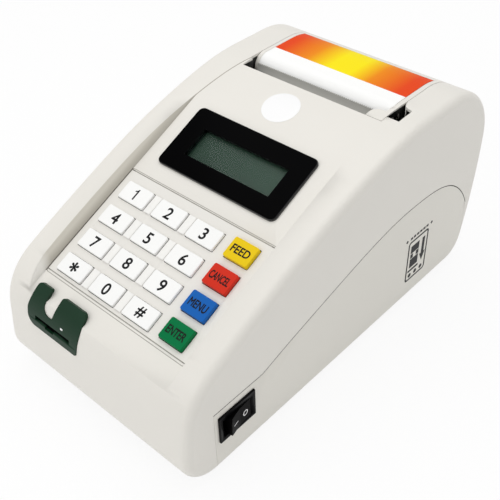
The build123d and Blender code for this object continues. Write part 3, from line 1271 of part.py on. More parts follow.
def make_board_screws():
    """Screws of the main board."""
    return Compound(children=[make_screw(x, y, BOARD_TOP, SHORT_SCREW, False) for x, y in board_screw_places()])


def make_rubber_feet():
    """Four round rubber feet sunk into the base."""
    feet = []
    for x, y in foot_places():
        foot = column(x, y, FOOT_RADIUS, 0, FLOOR_Z + FOOT_SINK)
        rim = foot.edges().sort_by(Axis.Z)[0]
        feet.append(chamfer(rim, FOOT_HEIGHT / 3))
    return Compound(children=feet)


# ------------------------------------------------------------------ the two shells
def make_base_case():
    """Lower case: floor and two arched side wings, with every boss that stands on it."""
    hollow = case_block(WALL, EDGE_ROUND - WALL)
    region = wing_region(0)
    reach = HALF_WIDTH + 1
    base = (case_block(0, EDGE_ROUND) - hollow) & side_bar(region, -reach, reach)

    grown, shrunk = wing_region(LIP_RISE), wing_region(-2 * LIP_RISE)
    wing_front, wing_back = NOSE_Y + WING_FRONT, TAIL_Y - WING_BACK
    lip_zone = Pos((wing_front + wing_back) / 2, WING_TOP) * Rectangle(
        wing_back - wing_front - 8 * LIP_RISE, 2 * (WING_TOP - WING_STEP + 2 * LIP_RISE))
    lip = (grown - shrunk) & lip_zone
    foot_lip = lip & region
    for side in (-1, 1):
        inside = side * (HALF_WIDTH - WALL)
        tongue = side * LIP_CLEARANCE
        base += side_bar(lip, *sorted((inside - tongue - side * LIP_WALL, inside - tongue)))
        base += side_bar(foot_lip, *sorted((inside - tongue - side * LIP_WALL, inside)))

    for x, y in case_boss_places():
        base += column(x, y, CASE_BOSS_RADIUS + 0.7, FLOOR_Z + 1, CASE_BOSS_SPLIT - LIP_CLEARANCE)
    for x, y in pillar_places():
        base += column(x, y, PILLAR_RADIUS, FLOOR_Z + 1, FRAME_FLOOR)
    for x, y in reader_post_places():
        base += column(x, y, PILLAR_RADIUS - 0.5, FLOOR_Z + 1, CARD_SLOT_Z - READER_HEIGHT / 2 - BOARD_THICK)
    for x, y in board_screw_places():
        base += column(x, y, PILLAR_RADIUS - 0.5, FLOOR_Z + 1, MAIN_BOARD_Z)
    battery_y = NOSE_Y + BATTERY_BACK
    for side in (-1, 1):
        stop = side * (CELL_LENGTH / 2 + FIT_GAP)
        base += block(*sorted((stop, stop + side * STOP_WALL)), battery_y - CELL_RADIUS,
                      battery_y + CELL_RADIUS, FLOOR_Z + 1, FLOOR_TOP + CELL_RADIUS)
    base = base & case_block(0, EDGE_ROUND)

    for x, y in case_boss_places():
        base -= column(x, y, SCREW_HEAD + FIT_GAP, 0, CASE_SCREW_SEAT)
        base -= column(x, y, SCREW_RADIUS + FIT_GAP, 0, CASE_BOSS_SPLIT)
    for x, y in pillar_places():
        base -= column(x, y, SCREW_RADIUS, FRAME_FLOOR + FRAME_WALL - SHORT_SCREW - 1, FRAME_FLOOR)
    for x, y in board_screw_places():
        base -= column(x, y, SCREW_RADIUS, BOARD_TOP - SHORT_SCREW, MAIN_BOARD_Z)
    for x, y in well_screw_places():
        base -= column(x, y, SCREW_RADIUS, FLOOR_TOP - 1 - FIT_GAP, FLOOR_TOP)
    for x, y in foot_places():
        base -= column(x, y, FOOT_RADIUS + FIT_GAP, 0, FLOOR_Z + FOOT_SINK)
    for number in range(VENT_COUNT):
        x = (number - (VENT_COUNT - 1) / 2) * VENT_PITCH
        y = NOSE_Y + VENT_AT
        base -= block(x - VENT_WIDTH / 2, x + VENT_WIDTH / 2, y - VENT_LENGTH / 2, y + VENT_LENGTH / 2, 0,
                      FLOOR_TOP + 1)
    hole = (SWITCH_BODY_LENGTH + 2 * SWITCH_CLEARANCE, SWITCH_BODY_HEIGHT + 2 * SWITCH_CLEARANCE)
    base -= switch_block(*hole, HALF_WIDTH - 2 * WALL, reach)
    return base


def make_top_cover():
    """Upper case: crown, nose and back, sunken panel, lid opening, ears and bosses."""
    hollow = case_block(WALL, EDGE_ROUND - WALL) - panel_trough(RECESS_HALF + PANEL_WALL, -PANEL_WALL)
    cover = case_block(0, EDGE_ROUND) - hollow - panel_trough(RECESS_HALF, 0)

    rim_low = BODY_HEIGHT - OPENING_RIM_DEPTH
    rim = extrude(Pos(0, 0, rim_low) * opening_plan(OPENING_RIM), amount=OPENING_RIM_DEPTH, dir=(0, 0, 1))
    cover += rim & case_block(WALL / 2, 0)
    for x_low, x_high in ((LID_HOLE_LEFT - EAR_LENGTH, LID_HOLE_LEFT), (LID_HOLE_RIGHT, LID_HOLE_RIGHT + EAR_LENGTH)):
        cover += side_rod(PIN_Y, PIN_Z, BARREL_RADIUS, x_low, x_high)
    for x, y in case_boss_places():
        cover += column(x, y, CASE_BOSS_RADIUS, CASE_BOSS_SPLIT, BODY_HEIGHT) & case_block(WALL / 2, 0)
    for x, s in key_board_bosses():
        cover += panel_pin(x, s, PANEL_BOSS_RADIUS, KEY_BOARD_TOP, -PANEL_WALL / 2)
    for x, s in display_bosses():
        cover += panel_pin(x, s, PANEL_BOSS_RADIUS, DISPLAY_FOOT, -PANEL_WALL / 2)

    opening = Pos(0, 0, rim_low - WALL) * opening_plan()
    cover -= extrude(opening, amount=BODY_HEIGHT, dir=(0, 0, 1))
    cover -= side_rod(PIN_Y, PIN_Z, HINGE_GROOVE, LID_HOLE_LEFT, LID_HOLE_RIGHT)
    cover -= side_rod(PIN_Y, PIN_Z, PIN_RADIUS, -HALF_WIDTH + WALL, HALF_WIDTH - WALL)

    grown = wing_region(SEAM_GAP)
    low_y, high_y = NOSE_Y + WING_FRONT - NOSE_SEAM_GAP, TAIL_Y - WING_BACK + NOSE_SEAM_GAP
    grown = grown & (Pos((low_y + high_y) / 2, 0) * Rectangle(high_y - low_y, FAR))
    cover -= side_bar(grown, -HALF_WIDTH - 1, -HALF_WIDTH + 2 * WALL)
    cover -= side_bar(grown, HALF_WIDTH - 2 * WALL, HALF_WIDTH + 1)
    floor_cut = CASE_BOSS_SPLIT - LIP_CLEARANCE
    inner_reach = HALF_WIDTH - 2 * WALL + 1
    cover -= block(-inner_reach, inner_reach, low_y, high_y, -1, floor_cut)

    margin = PLATE_CLEARANCE
    plate_size = (PLATE_WIDTH + 2 * margin, PLATE_LENGTH + 2 * margin)
    cover -= panel_slab(*plate_size, PLATE_CORNER, 0, PLATE_MIDDLE, -PLATE_THICK, RECESS_REACH)
    hole_size = (PLATE_WIDTH - 2 * PLATE_LEDGE, PLATE_LENGTH - 2 * PLATE_LEDGE)
    cover -= panel_slab(*hole_size, PLATE_CORNER, 0, PLATE_MIDDLE, -2 * PANEL_WALL, RECESS_REACH)
    bezel_size = (BEZEL_WIDTH - 2 * BEZEL_FLANGE + 2 * FIT_GAP, BEZEL_LENGTH - 2 * BEZEL_FLANGE + 2 * FIT_GAP)
    cover -= panel_slab(*bezel_size, BEZEL_CORNER - BEZEL_FLANGE / 2, 0, BEZEL_MIDDLE, -3 * PANEL_WALL, 1)
    seat = panel_slab(BEZEL_WIDTH + 2 * FIT_GAP, BEZEL_LENGTH + 2 * FIT_GAP, BEZEL_CORNER, 0, BEZEL_MIDDLE, 0,
                      RECESS_REACH)
    cover -= seat
    for x, s in key_board_bosses():
        cover -= panel_pin(x, s, SCREW_RADIUS * 0.7, KEY_BOARD_TOP - 1, -PANEL_WALL)
    for x, y in case_boss_places():
        cover -= column(x, y, SCREW_RADIUS, CASE_BOSS_SPLIT - 1, CASE_SCREW_SEAT + SCREW_LENGTH + 1)

    cover -= card_prism(CARD_CLEARANCE) - case_block(CARD_SEAT, 0)
    cover -= card_slot()
    inlet_half, port_half = CONNECTOR_SIDE / 2 + FIT_GAP, PORT_WIDTH / 2 + FIT_GAP
    back = connector_back() - CONNECTOR_LENGTH
    cover -= block(INLET_X - inlet_half, INLET_X + inlet_half, back, TAIL_Y, BOARD_TOP - FIT_GAP,
                   BOARD_TOP + CONNECTOR_SIDE + FIT_GAP)
    cover -= block(PORT_X - port_half, PORT_X + port_half, back, TAIL_Y, BOARD_TOP - FIT_GAP,
                   BOARD_TOP + PORT_HEIGHT + FIT_GAP)
    return cover


def make_all():
    """Every node's name and solid."""
    platen_phase, reducer_phase, pinion_phase = gear_phases()
    nodes = {
        "base_case": make_base_case(),
        "top_cover": make_top_cover(),
        "keypad_plate": make_keypad_plate(),
        "key_mat": make_key_mat(),
        "key_board": make_key_board(),
        "display_bezel": make_display_bezel(),
        "display_window": make_display_window(),
        "display_module": make_display_module(),
        "card_bezel": make_card_bezel(),
        "card_reader": make_card_reader(),
        "switch_housing": make_switch_housing(),
        "switch_rocker": make_switch_rocker(),
        "paper_lid": make_paper_lid(),
        "ticket_strip": make_ticket_strip(),
        "lid_hinge_pin": make_hinge_pin(),
        "paper_roll": make_paper_roll(),
        "paper_core": make_paper_core(),
        "roll_spindle": make_roll_spindle(),
        "paper_well": make_paper_well(),
        "mechanism_frame": make_mechanism_frame(),
        "platen_shaft": make_platen_shaft(),
        "platen_sleeve": make_platen_sleeve(),
        "platen_bushes": make_platen_bushes(),
        "platen_gear": gear_at(PLATEN_CENTRE, PLATEN_TEETH, platen_phase, PLATEN_SHAFT),
        "reduction_gear": gear_at(REDUCER_CENTRE, REDUCER_TEETH, reducer_phase, STUD_RADIUS + SHAFT_CLEARANCE),
        "reducer_stud": make_reducer_stud(),
        "motor_pinion": make_motor_pinion(),
        "feed_motor": make_feed_motor(),
        "print_head": make_print_head(),
        "head_heat_sink": make_heat_sink(),
        "head_pivot_rod": make_head_pivot(),
        "head_springs": make_head_springs(),
        "tear_bar": make_tear_bar(),
        "main_board": make_main_board(),
        "board_parts": make_board_parts(),
        "power_inlet": make_power_inlet(),
        "data_port": make_data_port(),
        "sounder": make_sounder(),
        "battery_pack": make_battery_pack(),
        "case_screws": make_case_screws(),
        "mechanism_screws": make_mechanism_screws(),
        "well_screws": make_well_screws(),
        "board_screws": make_board_screws(),
        "rubber_feet": make_rubber_feet(),
    }
    for name, x, s, width, length, proud in key_table():
        nodes[name] = make_key(x, s, width, length, proud)
    return nodes


if __name__ == "__main__":
    os.makedirs("parts", exist_ok=True)
    for name, solid in make_all().items():
        solid.label = name
        export_step(solid, f"parts/{name}.step")
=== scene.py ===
"""Dresses the ticket register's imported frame: finishes, legends, ticket, badge, fixings and studio."""

import math

import bmesh
import bpy
from bpy.props import FloatProperty, FloatVectorProperty, PointerProperty
from bpy.types import Operator, Panel, PropertyGroup
from mathutils import Matrix, Vector


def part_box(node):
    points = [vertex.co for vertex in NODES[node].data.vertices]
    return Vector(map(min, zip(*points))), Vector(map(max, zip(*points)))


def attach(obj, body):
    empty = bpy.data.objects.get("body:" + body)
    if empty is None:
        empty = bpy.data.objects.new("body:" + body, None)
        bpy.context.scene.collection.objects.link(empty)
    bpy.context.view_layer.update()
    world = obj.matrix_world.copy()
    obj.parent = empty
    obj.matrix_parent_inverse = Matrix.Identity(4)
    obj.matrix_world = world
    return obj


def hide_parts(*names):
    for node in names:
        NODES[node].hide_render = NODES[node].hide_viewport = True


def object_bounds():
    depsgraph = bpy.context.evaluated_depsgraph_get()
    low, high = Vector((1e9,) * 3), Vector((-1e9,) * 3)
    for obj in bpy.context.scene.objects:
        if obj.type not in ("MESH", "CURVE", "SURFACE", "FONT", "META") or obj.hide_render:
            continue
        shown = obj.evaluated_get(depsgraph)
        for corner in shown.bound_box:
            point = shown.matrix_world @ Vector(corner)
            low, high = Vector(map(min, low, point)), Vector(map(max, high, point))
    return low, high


bl_info = {
    "name": "Ticket register dressing",
    "version": (1, 0, 0),
    "blender": (4, 5, 0),
    "location": "View3D > Sidebar > Ticket register",
    "description": "Builds the finishes and fine pieces of a desktop ticket register on its packed frame",
    "category": "Object",
}

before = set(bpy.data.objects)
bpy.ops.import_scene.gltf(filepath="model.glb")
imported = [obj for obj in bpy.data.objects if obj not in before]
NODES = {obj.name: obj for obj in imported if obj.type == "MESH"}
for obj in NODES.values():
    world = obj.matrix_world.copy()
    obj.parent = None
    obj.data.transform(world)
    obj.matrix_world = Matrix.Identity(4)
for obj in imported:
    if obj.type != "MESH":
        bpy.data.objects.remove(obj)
CAD_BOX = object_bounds()

MM = 0.001
UP = Vector((0, 0, 1))
SMOOTH_ANGLE = math.radians(32)
PRINT_THICK = 0.05 * MM         # of ink or a thin label over what it lies on
PRINT_SINK = 0.05 * MM          # of the same under that surface
HAIR = 0.05 * MM                # within which two faces count as one
NEAR_BLACK = (0.002, 0.002, 0.002)
# Turns a flat shape's (across, up, out) on to the right-hand side, and on to the front.
ON_SIDE = Matrix(((0, 0, 1, 0), (1, 0, 0, 0), (0, 1, 0, 0), (0, 0, 0, 1)))
ON_FRONT = Matrix(((1, 0, 0, 0), (0, 0, 1, 0), (0, 1, 0, 0), (0, 0, 0, 1)))


# ------------------------------------------------------------------ settings a user would change
def colour(label, text, rgb):
    return FloatVectorProperty(name=label, description=text, default=rgb, subtype="COLOR", size=3, min=0,
                               max=1)


def length(label, text, value):
    return FloatProperty(name=label, description=text, default=value, unit="LENGTH", subtype="DISTANCE",
                         precision=5)


def angle(label, text, degrees):
    return FloatProperty(name=label, description=text, default=math.radians(degrees), unit="ROTATION",
                         subtype="ANGLE")


def number(label, text, value, low=0.0):
    return FloatProperty(name=label, description=text, default=value, min=low)


def spot(label, text, *corner):
    return FloatVectorProperty(name=label, description=text, default=[value * MM for value in corner],
                               unit="LENGTH", size=3)


class CaseFinish(PropertyGroup):
    """Colours and grain of the mouldings."""

    cover: colour("Cover", "Ivory of the upper moulding and the lid", (0.765, 0.742, 0.690))
    base: colour("Base", "Ivory of the lower moulding", (0.745, 0.724, 0.665))
    panel: colour("Keypad plate", "Warm grey of the inset plate", (0.765, 0.745, 0.700))
    roughness: FloatProperty(name="Roughness", description="Of the satin moulding", default=0.42,
                             min=0, max=1)
    grain: number("Grain", "Spark-erosion grain, bumps per metre", 2600, 100)
    pad_tint: colour("Pads", "Raised pads between the keys", (0.86, 0.85, 0.82))
    side_x: length("Side", "Of the side walls' flat faces, from the middle", 58.25 * MM)
    parting_low: length("Parting foot", "Lowest height of the arched parting", 20.0 * MM)
    parting_width: length("Parting width", "Shown of the arched parting", 0.42 * MM)
    wall_foot: length("Recess wall", "Foot of the keypad recess's walls, from the middle", 43.4 * MM)
    wall_front: length("Recess wall front", "Where the grime starts", -89.5 * MM)
    wall_flare: number("Recess flare", "Outward lean per height", 0.42)
    # Painted shade: the two colours below darken the recess's left wall, most at its foot.
    foot_shade: colour("Recess foot shade", "Dims the recess's left wall at its foot", (0.50, 0.48, 0.44))
    wall_shade: colour("Recess shade", "Dims the recess's left wall", (0.78, 0.76, 0.71))
    # Painted shadow: this colour darkens a thread laid in the arched parting gap.
    parting: colour("Parting", "Seen through the arched parting gap", (0.02, 0.019, 0.017))
    inside: colour("Well", "Dark plastic of the paper well and spindle", (0.028, 0.028, 0.030))


class KeypadLayout(PropertyGroup):
    """The keypad panel's plane, its key grid and the print on the keys."""

    slope: angle("Slope", "Of the keypad panel", 24.48)
    origin_y: length("Origin Y", "Front to back place of the panel's origin", -85.55 * MM)
    origin_z: length("Origin Z", "Height of the panel's origin", 54.36 * MM)
    first_x: length("First column", "Left edge of the first column", -38.6 * MM)
    pitch_x: length("Column pitch", "From column to column", 21.26 * MM)
    pitch_s: length("Row pitch", "From row to row, up the slope", 13.92 * MM)
    key_width: length("Key width", "Of a white key", 15.9 * MM)
    key_length: length("Key length", "Of a white key, up the slope", 9.2 * MM)
    key_top: length("Key top", "Of a white key over the plate", 1.3 * MM)
    menu_x: length("Menu column", "Left edge of the coloured keys", 25.6 * MM)
    menu_width: length("Menu key width", "Of a coloured key", 12.9 * MM)
    menu_length: length("Menu key length", "Of a coloured key, up the slope", 9.8 * MM)
    menu_shift: length("Menu shift", "Of a coloured key up the slope", 1.1 * MM)
    menu_top: length("Menu key top", "Of a coloured key over the plate", 2.0 * MM)
    digit_height: length("Digit height", "Printed on the white keys", 5.6 * MM)
    word_height: length("Word height", "Printed on the coloured keys", 3.7 * MM)
    word_width: length("Word width", "Of the longest word", 10.4 * MM)
    digit_weight: number("Digit weight", "Growth of strokes, of the size", 0.018)
    word_weight: number("Word weight", "Growth of strokes, of the size", 0.022)
    plate_width: length("Plate width", "Of the inset plate", 86.0 * MM)
    plate_length: length("Plate length", "Of the inset plate", 60.2 * MM)
    plate_front: length("Plate front", "Of the inset plate", -3.2 * MM)
    plate_corner: length("Plate corner", "Of the inset plate", 1.0 * MM)
    gap_width: length("Gap", "Shown between a key and the plate", 0.16 * MM)
    gap_reach: length("Gap reach", "Of both gaps beside a key", 0.3 * MM)
    gap_depth: length("Gap depth", "Of the dark ring under the plate's top", 0.5 * MM)
    seam: length("Plate seam", "Shown round the plate", 0.35 * MM)
    # Painted shade: the gap, seam and edge colours darken the gaps round the keys, the plate's seam and
    # grooves, and beside its left edge.
    gap: colour("Gap colour", "In the gaps round the keys", (0.03, 0.028, 0.026))
    seam_tint: colour("Seam colour", "In the plate's seam and grooves", (0.40, 0.385, 0.345))
    edge_tint: colour("Edge colour", "Beside the plate's left edge", (0.10, 0.093, 0.080))
    ink: colour("Ink", "Of the legends", (0.006, 0.006, 0.007))
    white: colour("White keys", "Cap colour", (0.90, 0.90, 0.885))
    yellow: colour("Yellow key", "Cap colour", (0.79, 0.555, 0.008))
    red: colour("Red key", "Cap colour", (0.61, 0.030, 0.014))
    blue: colour("Blue key", "Cap colour", (0.010, 0.115, 0.43))
    green: colour("Green key", "Cap colour", (0.0005, 0.165, 0.050))


class DisplayFinish(PropertyGroup):
    """The display's frame and panel."""

    middle_s: length("Middle", "Of the window, up the slope", 81.5 * MM)
    shift_x: length("Shift", "Of the window to the right", 0.4 * MM)
    width: length("Panel width", "Of the liquid-crystal panel", 51.0 * MM)
    height: length("Panel height", "Of the liquid-crystal panel", 16.6 * MM)
    depth: length("Panel depth", "Of the liquid-crystal panel under the plate", -1.6 * MM)
    crystal_thick: length("Panel thickness", "Of the liquid-crystal panel", 0.4 * MM)
    black: colour("Frame", "Glossy black", (0.0012, 0.0012, 0.0014))
    crystal: colour("Panel", "Unlit grey-green", (0.044, 0.094, 0.064))


class ReaderFinish(PropertyGroup):
    """The card reader's bezel."""

    green: colour("Bezel", "Deep green moulding", (0.005, 0.031, 0.013))
    lamp_x: length("Lamp X", "Across", -18.3 * MM)
    lamp_z: length("Lamp Z", "Up", 42.7 * MM)
    lamp_width: length("Lamp width", "Of its lens", 1.5 * MM)
    lamp_height: length("Lamp height", "Of its lens", 0.8 * MM)
    slot_x: length("Slot X", "Middle of the card slot", -24.6 * MM)
    slot_z: length("Slot Z", "Middle of the card slot", 39.0 * MM)
    slot_width: length("Slot width", "Of the card slot", 23.4 * MM)
    slot_height: length("Slot height", "Of the card slot", 2.4 * MM)
    keyway_x: length("Keyway X", "Middle of the deeper part", -26.6 * MM)
    keyway_width: length("Keyway width", "Of the deeper part", 5.6 * MM)
    keyway_drop: length("Keyway drop", "Of the deeper part under the slot", 1.1 * MM)
    # Painted shadow: a near-black liner inside the card slot.
    slot_front: length("Liner front", "Of the slot's dark liner", -102.0 * MM)
    slot_back: length("Liner back", "Of the slot's dark liner", -97.6 * MM)


class SwitchMarks(PropertyGroup):
    """The rocker's pivot and marks."""

    pivot: spot("Pivot", "Of the rocker", 56.1, -76.4, 25.1)
    tilt: angle("Tilt", "Of the rocker at rest", 9.0)
    crest: length("Crest", "Of the rocker's ends over the pivot", 4.2 * MM)
    valley: length("Valley", "Of the rocker's middle over the pivot", 3.7 * MM)
    half: length("Half length", "Of the rocker", 6.6 * MM)
    pinch: length("Body half width", "Of the rocker between its trunnions", 5.3 * MM)
    drop: length("Mark drop", "Of the marks under the rocker's middle", 0.8 * MM)
    mark_half: length("Mark size", "Half the length of either mark", 1.5 * MM)
    mark_hole: length("Mark hole", "Radius inside the off mark", 1.05 * MM)
    mark_stroke: length("Mark stroke", "Half the width of the on mark", 0.22 * MM)
    mark: colour("Off mark", "Print on the rocker", (0.80, 0.80, 0.80))
    dim_mark: colour("On mark", "Worn print on the rocker", (0.65, 0.65, 0.65))
    black: colour("Switch", "Satin black", (0.0018, 0.0018, 0.0020))


class TicketDesign(PropertyGroup):
    """The printed ticket's plain colour header."""

    start_y: length("Header start", "Front edge of the header", 58.6 * MM)
    foot_z: length("Header foot", "Lowest printed height at the back", 91.0 * MM)
    left: length("Left edge", "Of the ticket", -37.6 * MM)
    right: length("Right edge", "Of the ticket", 38.9 * MM)
    # Painted shade: the tear bar is darkened towards its teeth.
    bar_low: length("Bar bright", "Height where the tear bar is bright", 95.5 * MM)
    bar_high: length("Bar dark", "Height where the tear bar is dark", 101.0 * MM)
    teeth: colour("Teeth", "Tone of the tear bar at its teeth", (0.46, 0.455, 0.43))
    paper: colour("Paper", "Thermal paper", (0.93, 0.93, 0.92))
    orange: colour("Header ends", "At the ticket's sides", (0.76, 0.058, 0.004))
    amber: colour("Header", "Between the sides and the middle", (0.83, 0.25, 0.002))
    yellow: colour("Header middle", "At the ticket's middle", (0.92, 0.76, 0.0))


class BadgeDesign(PropertyGroup):
    """The blank round badge behind the display and the card sign on the side."""

    centre_x: length("Badge X", "Across", -1.8 * MM)
    centre_y: length("Badge Y", "Front to back", 21.1 * MM)
    across: length("Badge across", "Half the disc's shorter width", 8.85 * MM)
    along: length("Badge along", "Half the disc's longer width", 9.55 * MM)
    turn: angle("Badge turn", "Of its shorter width from the width of the case", 43.5)
    white: colour("Badge", "Bare glossy disc", (0.88, 0.88, 0.88))
    sign_y: length("Sign Y", "Left edge of the card sign", 44.0 * MM)
    sign_z: length("Sign Z", "Foot of the card sign", 13.2 * MM)
    sign_width: length("Sign width", "Of its frame", 17.0 * MM)
    sign_height: length("Sign height", "Of its frame", 25.5 * MM)
    sign_x: length("Sign X", "Of the side face", 58.25 * MM)


class StudioSet(PropertyGroup):
    """Camera, lamps and floor."""

    azimuth: angle("Azimuth", "Of the camera round the register", 43.53)
    elevation: angle("Elevation", "Of the camera", 40.18)
    roll: angle("Roll", "Of the camera", -1.94)
    distance: length("Distance", "From the point looked at", 408.66 * MM)
    target: spot("Target", "Point looked at", -4.15, 0.36, 28.74)
    lens: number("Lens", "Focal length in millimetres", 59.97, 1)
    floor: colour("Floor", "Pale floor", (0.93, 0.93, 0.93))
    overhead: number("Overhead", "Power of the overhead lamp in watts", 2.3)
    front: number("Front", "Power of the front lamp in watts", 1.35)
    side: number("Side", "Power of the right-hand lamp in watts", 0.1)
    ambient: number("Ambient", "Strength of the surroundings", 0.68)


GROUPS = {
    "register_case": CaseFinish,
    "register_keypad": KeypadLayout,
    "register_display": DisplayFinish,
    "register_reader": ReaderFinish,
    "register_switch": SwitchMarks,
    "register_ticket": TicketDesign,
    "register_badge": BadgeDesign,
    "register_studio": StudioSet,
}


# ------------------------------------------------------------------ shared shader groups
def shader_group(name, inputs, outputs):
    """A shader node group with named float or vector inputs, and its input and output nodes."""
    group = bpy.data.node_groups.new(name, "ShaderNodeTree")
    for label, value in inputs.items():
        kind = "NodeSocketVector" if value is None else "NodeSocketFloat"
        socket = group.interface.new_socket(label, in_out="INPUT", socket_type=kind)
        if value is not None:
            socket.default_value = value
    for label in outputs:
        group.interface.new_socket(label, in_out="OUTPUT", socket_type="NodeSocketFloat")
    return group, group.nodes.new("NodeGroupInput"), group.nodes.new("NodeGroupOutput")


def feed(tree, socket, value):
    """Gives an input its value, a number or another node's socket."""
    if isinstance(value, (int, float)):
        socket.default_value = value
    else:
        tree.links.new(value, socket)


def maths(tree, operation, first, second=0.0):
    """A math node on two values, each a socket or a number."""
    node = tree.nodes.new("ShaderNodeMath")
    node.operation = operation
    feed(tree, node.inputs[0], first)
    feed(tree, node.inputs[1], second)
    return node.outputs[0]


def noise(tree, vector, scale, detail=3.0):
    """A noise texture's value; scale is a socket or a number."""
    node = tree.nodes.new("ShaderNodeTexNoise")
    node.inputs["Detail"].default_value = detail
    tree.links.new(vector, node.inputs["Vector"])
    feed(tree, node.inputs["Scale"], scale)
    return node.outputs["Fac"]


def ranged(tree, value, low, high):
    """A 0 to 1 value spread from low to high, each a socket or a number."""
    node = tree.nodes.new("ShaderNodeMapRange")
    tree.links.new(value, node.inputs["Value"])
    feed(tree, node.inputs["To Min"], low)
    feed(tree, node.inputs["To Max"], high)
    return node.outputs["Result"]


def way_along(tree, value, start, end):
    """How far a value has come from start to end, from 0 to 1."""
    node = tree.nodes.new("ShaderNodeMapRange")
    tree.links.new(value, node.inputs["Value"])
    node.inputs["From Min"].default_value = start
    node.inputs["From Max"].default_value = end
    return node.outputs["Result"]


def reach_along(tree, vector, direction):
    """Length of a vector along a direction, as a value."""
    node = tree.nodes.new("ShaderNodeVectorMath")
    node.operation = "DOT_PRODUCT"
    tree.links.new(vector, node.inputs[0])
    node.inputs[1].default_value = direction
    return node.outputs["Value"]


def split_vector(tree, vector):
    """A vector's X, Y and Z."""
    node = tree.nodes.new("ShaderNodeSeparateXYZ")
    tree.links.new(vector, node.inputs["Vector"])
    return node.outputs


def moulded_grain_group():
    """Fine spark-eroded grain of injection mouldings, with soft cloudy sheen changes."""
    inputs = {"Vector": None, "Grain scale": 2600.0, "Roughness": 0.4, "Sheen change": 0.06}
    group, given, out = shader_group("moulded grain", inputs, ["Height", "Roughness", "Cloud"])
    vector = given.outputs["Vector"]
    fine = noise(group, vector, given.outputs["Grain scale"], 2.0)
    cell = group.nodes.new("ShaderNodeTexVoronoi")
    group.links.new(vector, cell.inputs["Vector"])
    half_scale = maths(group, "MULTIPLY", given.outputs["Grain scale"], 0.6)
    group.links.new(half_scale, cell.inputs["Scale"])
    height = maths(group, "ADD", fine, cell.outputs["Distance"])
    cloud = noise(group, vector, 22.0, 4.0)
    swing = maths(group, "MULTIPLY", maths(group, "SUBTRACT", cloud, 0.5), given.outputs["Sheen change"])
    rough = maths(group, "ADD", given.outputs["Roughness"], swing)
    for label, value in (("Height", height), ("Roughness", rough), ("Cloud", cloud)):
        group.links.new(value, out.inputs[label])
    return group


def brushed_group():
    """Rolling or brushing marks along X in sheet and bar metal."""
    inputs = {"Vector": None, "Stroke scale": 1500.0, "Roughness": 0.3, "Roughness change": 0.15}
    group, given, out = shader_group("brushed strokes", inputs, ["Height", "Roughness"])
    stretch = group.nodes.new("ShaderNodeMapping")
    stretch.inputs["Scale"].default_value = (0.03, 1.0, 1.0)
    group.links.new(given.outputs["Vector"], stretch.inputs["Vector"])
    stroke = noise(group, stretch.outputs["Vector"], given.outputs["Stroke scale"], 3.0)
    change = given.outputs["Roughness change"]
    swing = maths(group, "MULTIPLY", maths(group, "SUBTRACT", stroke, 0.5), change)
    rough = maths(group, "ADD", given.outputs["Roughness"], swing)
    group.links.new(stroke, out.inputs["Height"])
    group.links.new(rough, out.inputs["Roughness"])
    return group


def dust_group():
    """Sparse pale specks and a soft film, stronger on what faces up."""
    group, given, out = shader_group("settled dust", {"Vector": None, "Amount": 0.05}, ["Mask"])
    specks = noise(group, given.outputs["Vector"], 900.0, 2.0)
    film = noise(group, given.outputs["Vector"], 30.0, 3.0)
    normal = group.nodes.new("ShaderNodeNewGeometry").outputs["Normal"]
    facing = maths(group, "MAXIMUM", split_vector(group, normal)["Z"])
    mixed = maths(group, "MULTIPLY", maths(group, "MULTIPLY", specks, film), facing)
    group.links.new(maths(group, "MULTIPLY", mixed, given.outputs["Amount"]), out.inputs["Mask"])
    return group


# ------------------------------------------------------------------ materials
def start_material(name):
    """A new material with one Principled shader and Object coordinates."""
    material = bpy.data.materials.new(name)
    material.use_nodes = True
    tree = material.node_tree
    shader = tree.nodes["Principled BSDF"]
    place = tree.nodes.new("ShaderNodeTexCoord").outputs["Object"]
    return material, tree, shader, place


def place_group(tree, name, place, values):
    """A shared group in a material, reading place, with its own values."""
    node = tree.nodes.new("ShaderNodeGroup")
    node.node_tree = bpy.data.node_groups[name]
    tree.links.new(place, node.inputs["Vector"])
    for label, value in values.items():
        node.inputs[label].default_value = value
    return node.outputs


def add_bump(tree, shader, height, strength, distance):
    """A height that shapes the shader's normal."""
    bump = tree.nodes.new("ShaderNodeBump")
    bump.inputs["Strength"].default_value = strength
    bump.inputs["Distance"].default_value = distance
    tree.links.new(height, bump.inputs["Height"])
    tree.links.new(bump.outputs["Normal"], shader.inputs["Normal"])


def mix_colours(tree, factor, first, second):
    """Colour between two, each a socket or an RGB triple."""
    node = tree.nodes.new("ShaderNodeMix")
    node.data_type = "RGBA"
    tree.links.new(factor, node.inputs["Factor"])
    for label, value in (("A", first), ("B", second)):
        socket = [s for s in node.inputs if s.name == label and s.type == "RGBA"][0]
        if isinstance(value, bpy.types.NodeSocket):
            tree.links.new(value, socket)
        else:
            socket.default_value = (*value, 1.0)
    return [s for s in node.outputs if s.type == "RGBA"][0]


def scaled(rgb, factor):
    return tuple(min(1.0, channel * factor) for channel in rgb)


def moulding(name, rgb, roughness=0.42, grain=2600.0, depth=0.25, tone=0.025, dust=0.0, gloss=0.5):
    """Injection-moulded plastic: grain, faint cloudiness in tone and sheen, and optional dust."""
    material, tree, shader, place = start_material(name)
    values = {"Grain scale": grain, "Roughness": roughness, "Sheen change": 0.08}
    grain_out = place_group(tree, "moulded grain", place, values)
    tint = mix_colours(tree, grain_out["Cloud"], scaled(rgb, 1 - tone), scaled(rgb, 1 + tone))
    if dust > 0:
        mask = place_group(tree, "settled dust", place, {"Amount": dust})["Mask"]
        tint = mix_colours(tree, mask, tint, (0.60, 0.58, 0.54))
    tree.links.new(tint, shader.inputs["Base Color"])
    tree.links.new(grain_out["Roughness"], shader.inputs["Roughness"])
    shader.inputs["Specular IOR Level"].default_value = gloss
    add_bump(tree, shader, grain_out["Height"], depth, 0.02 * MM)
    return material


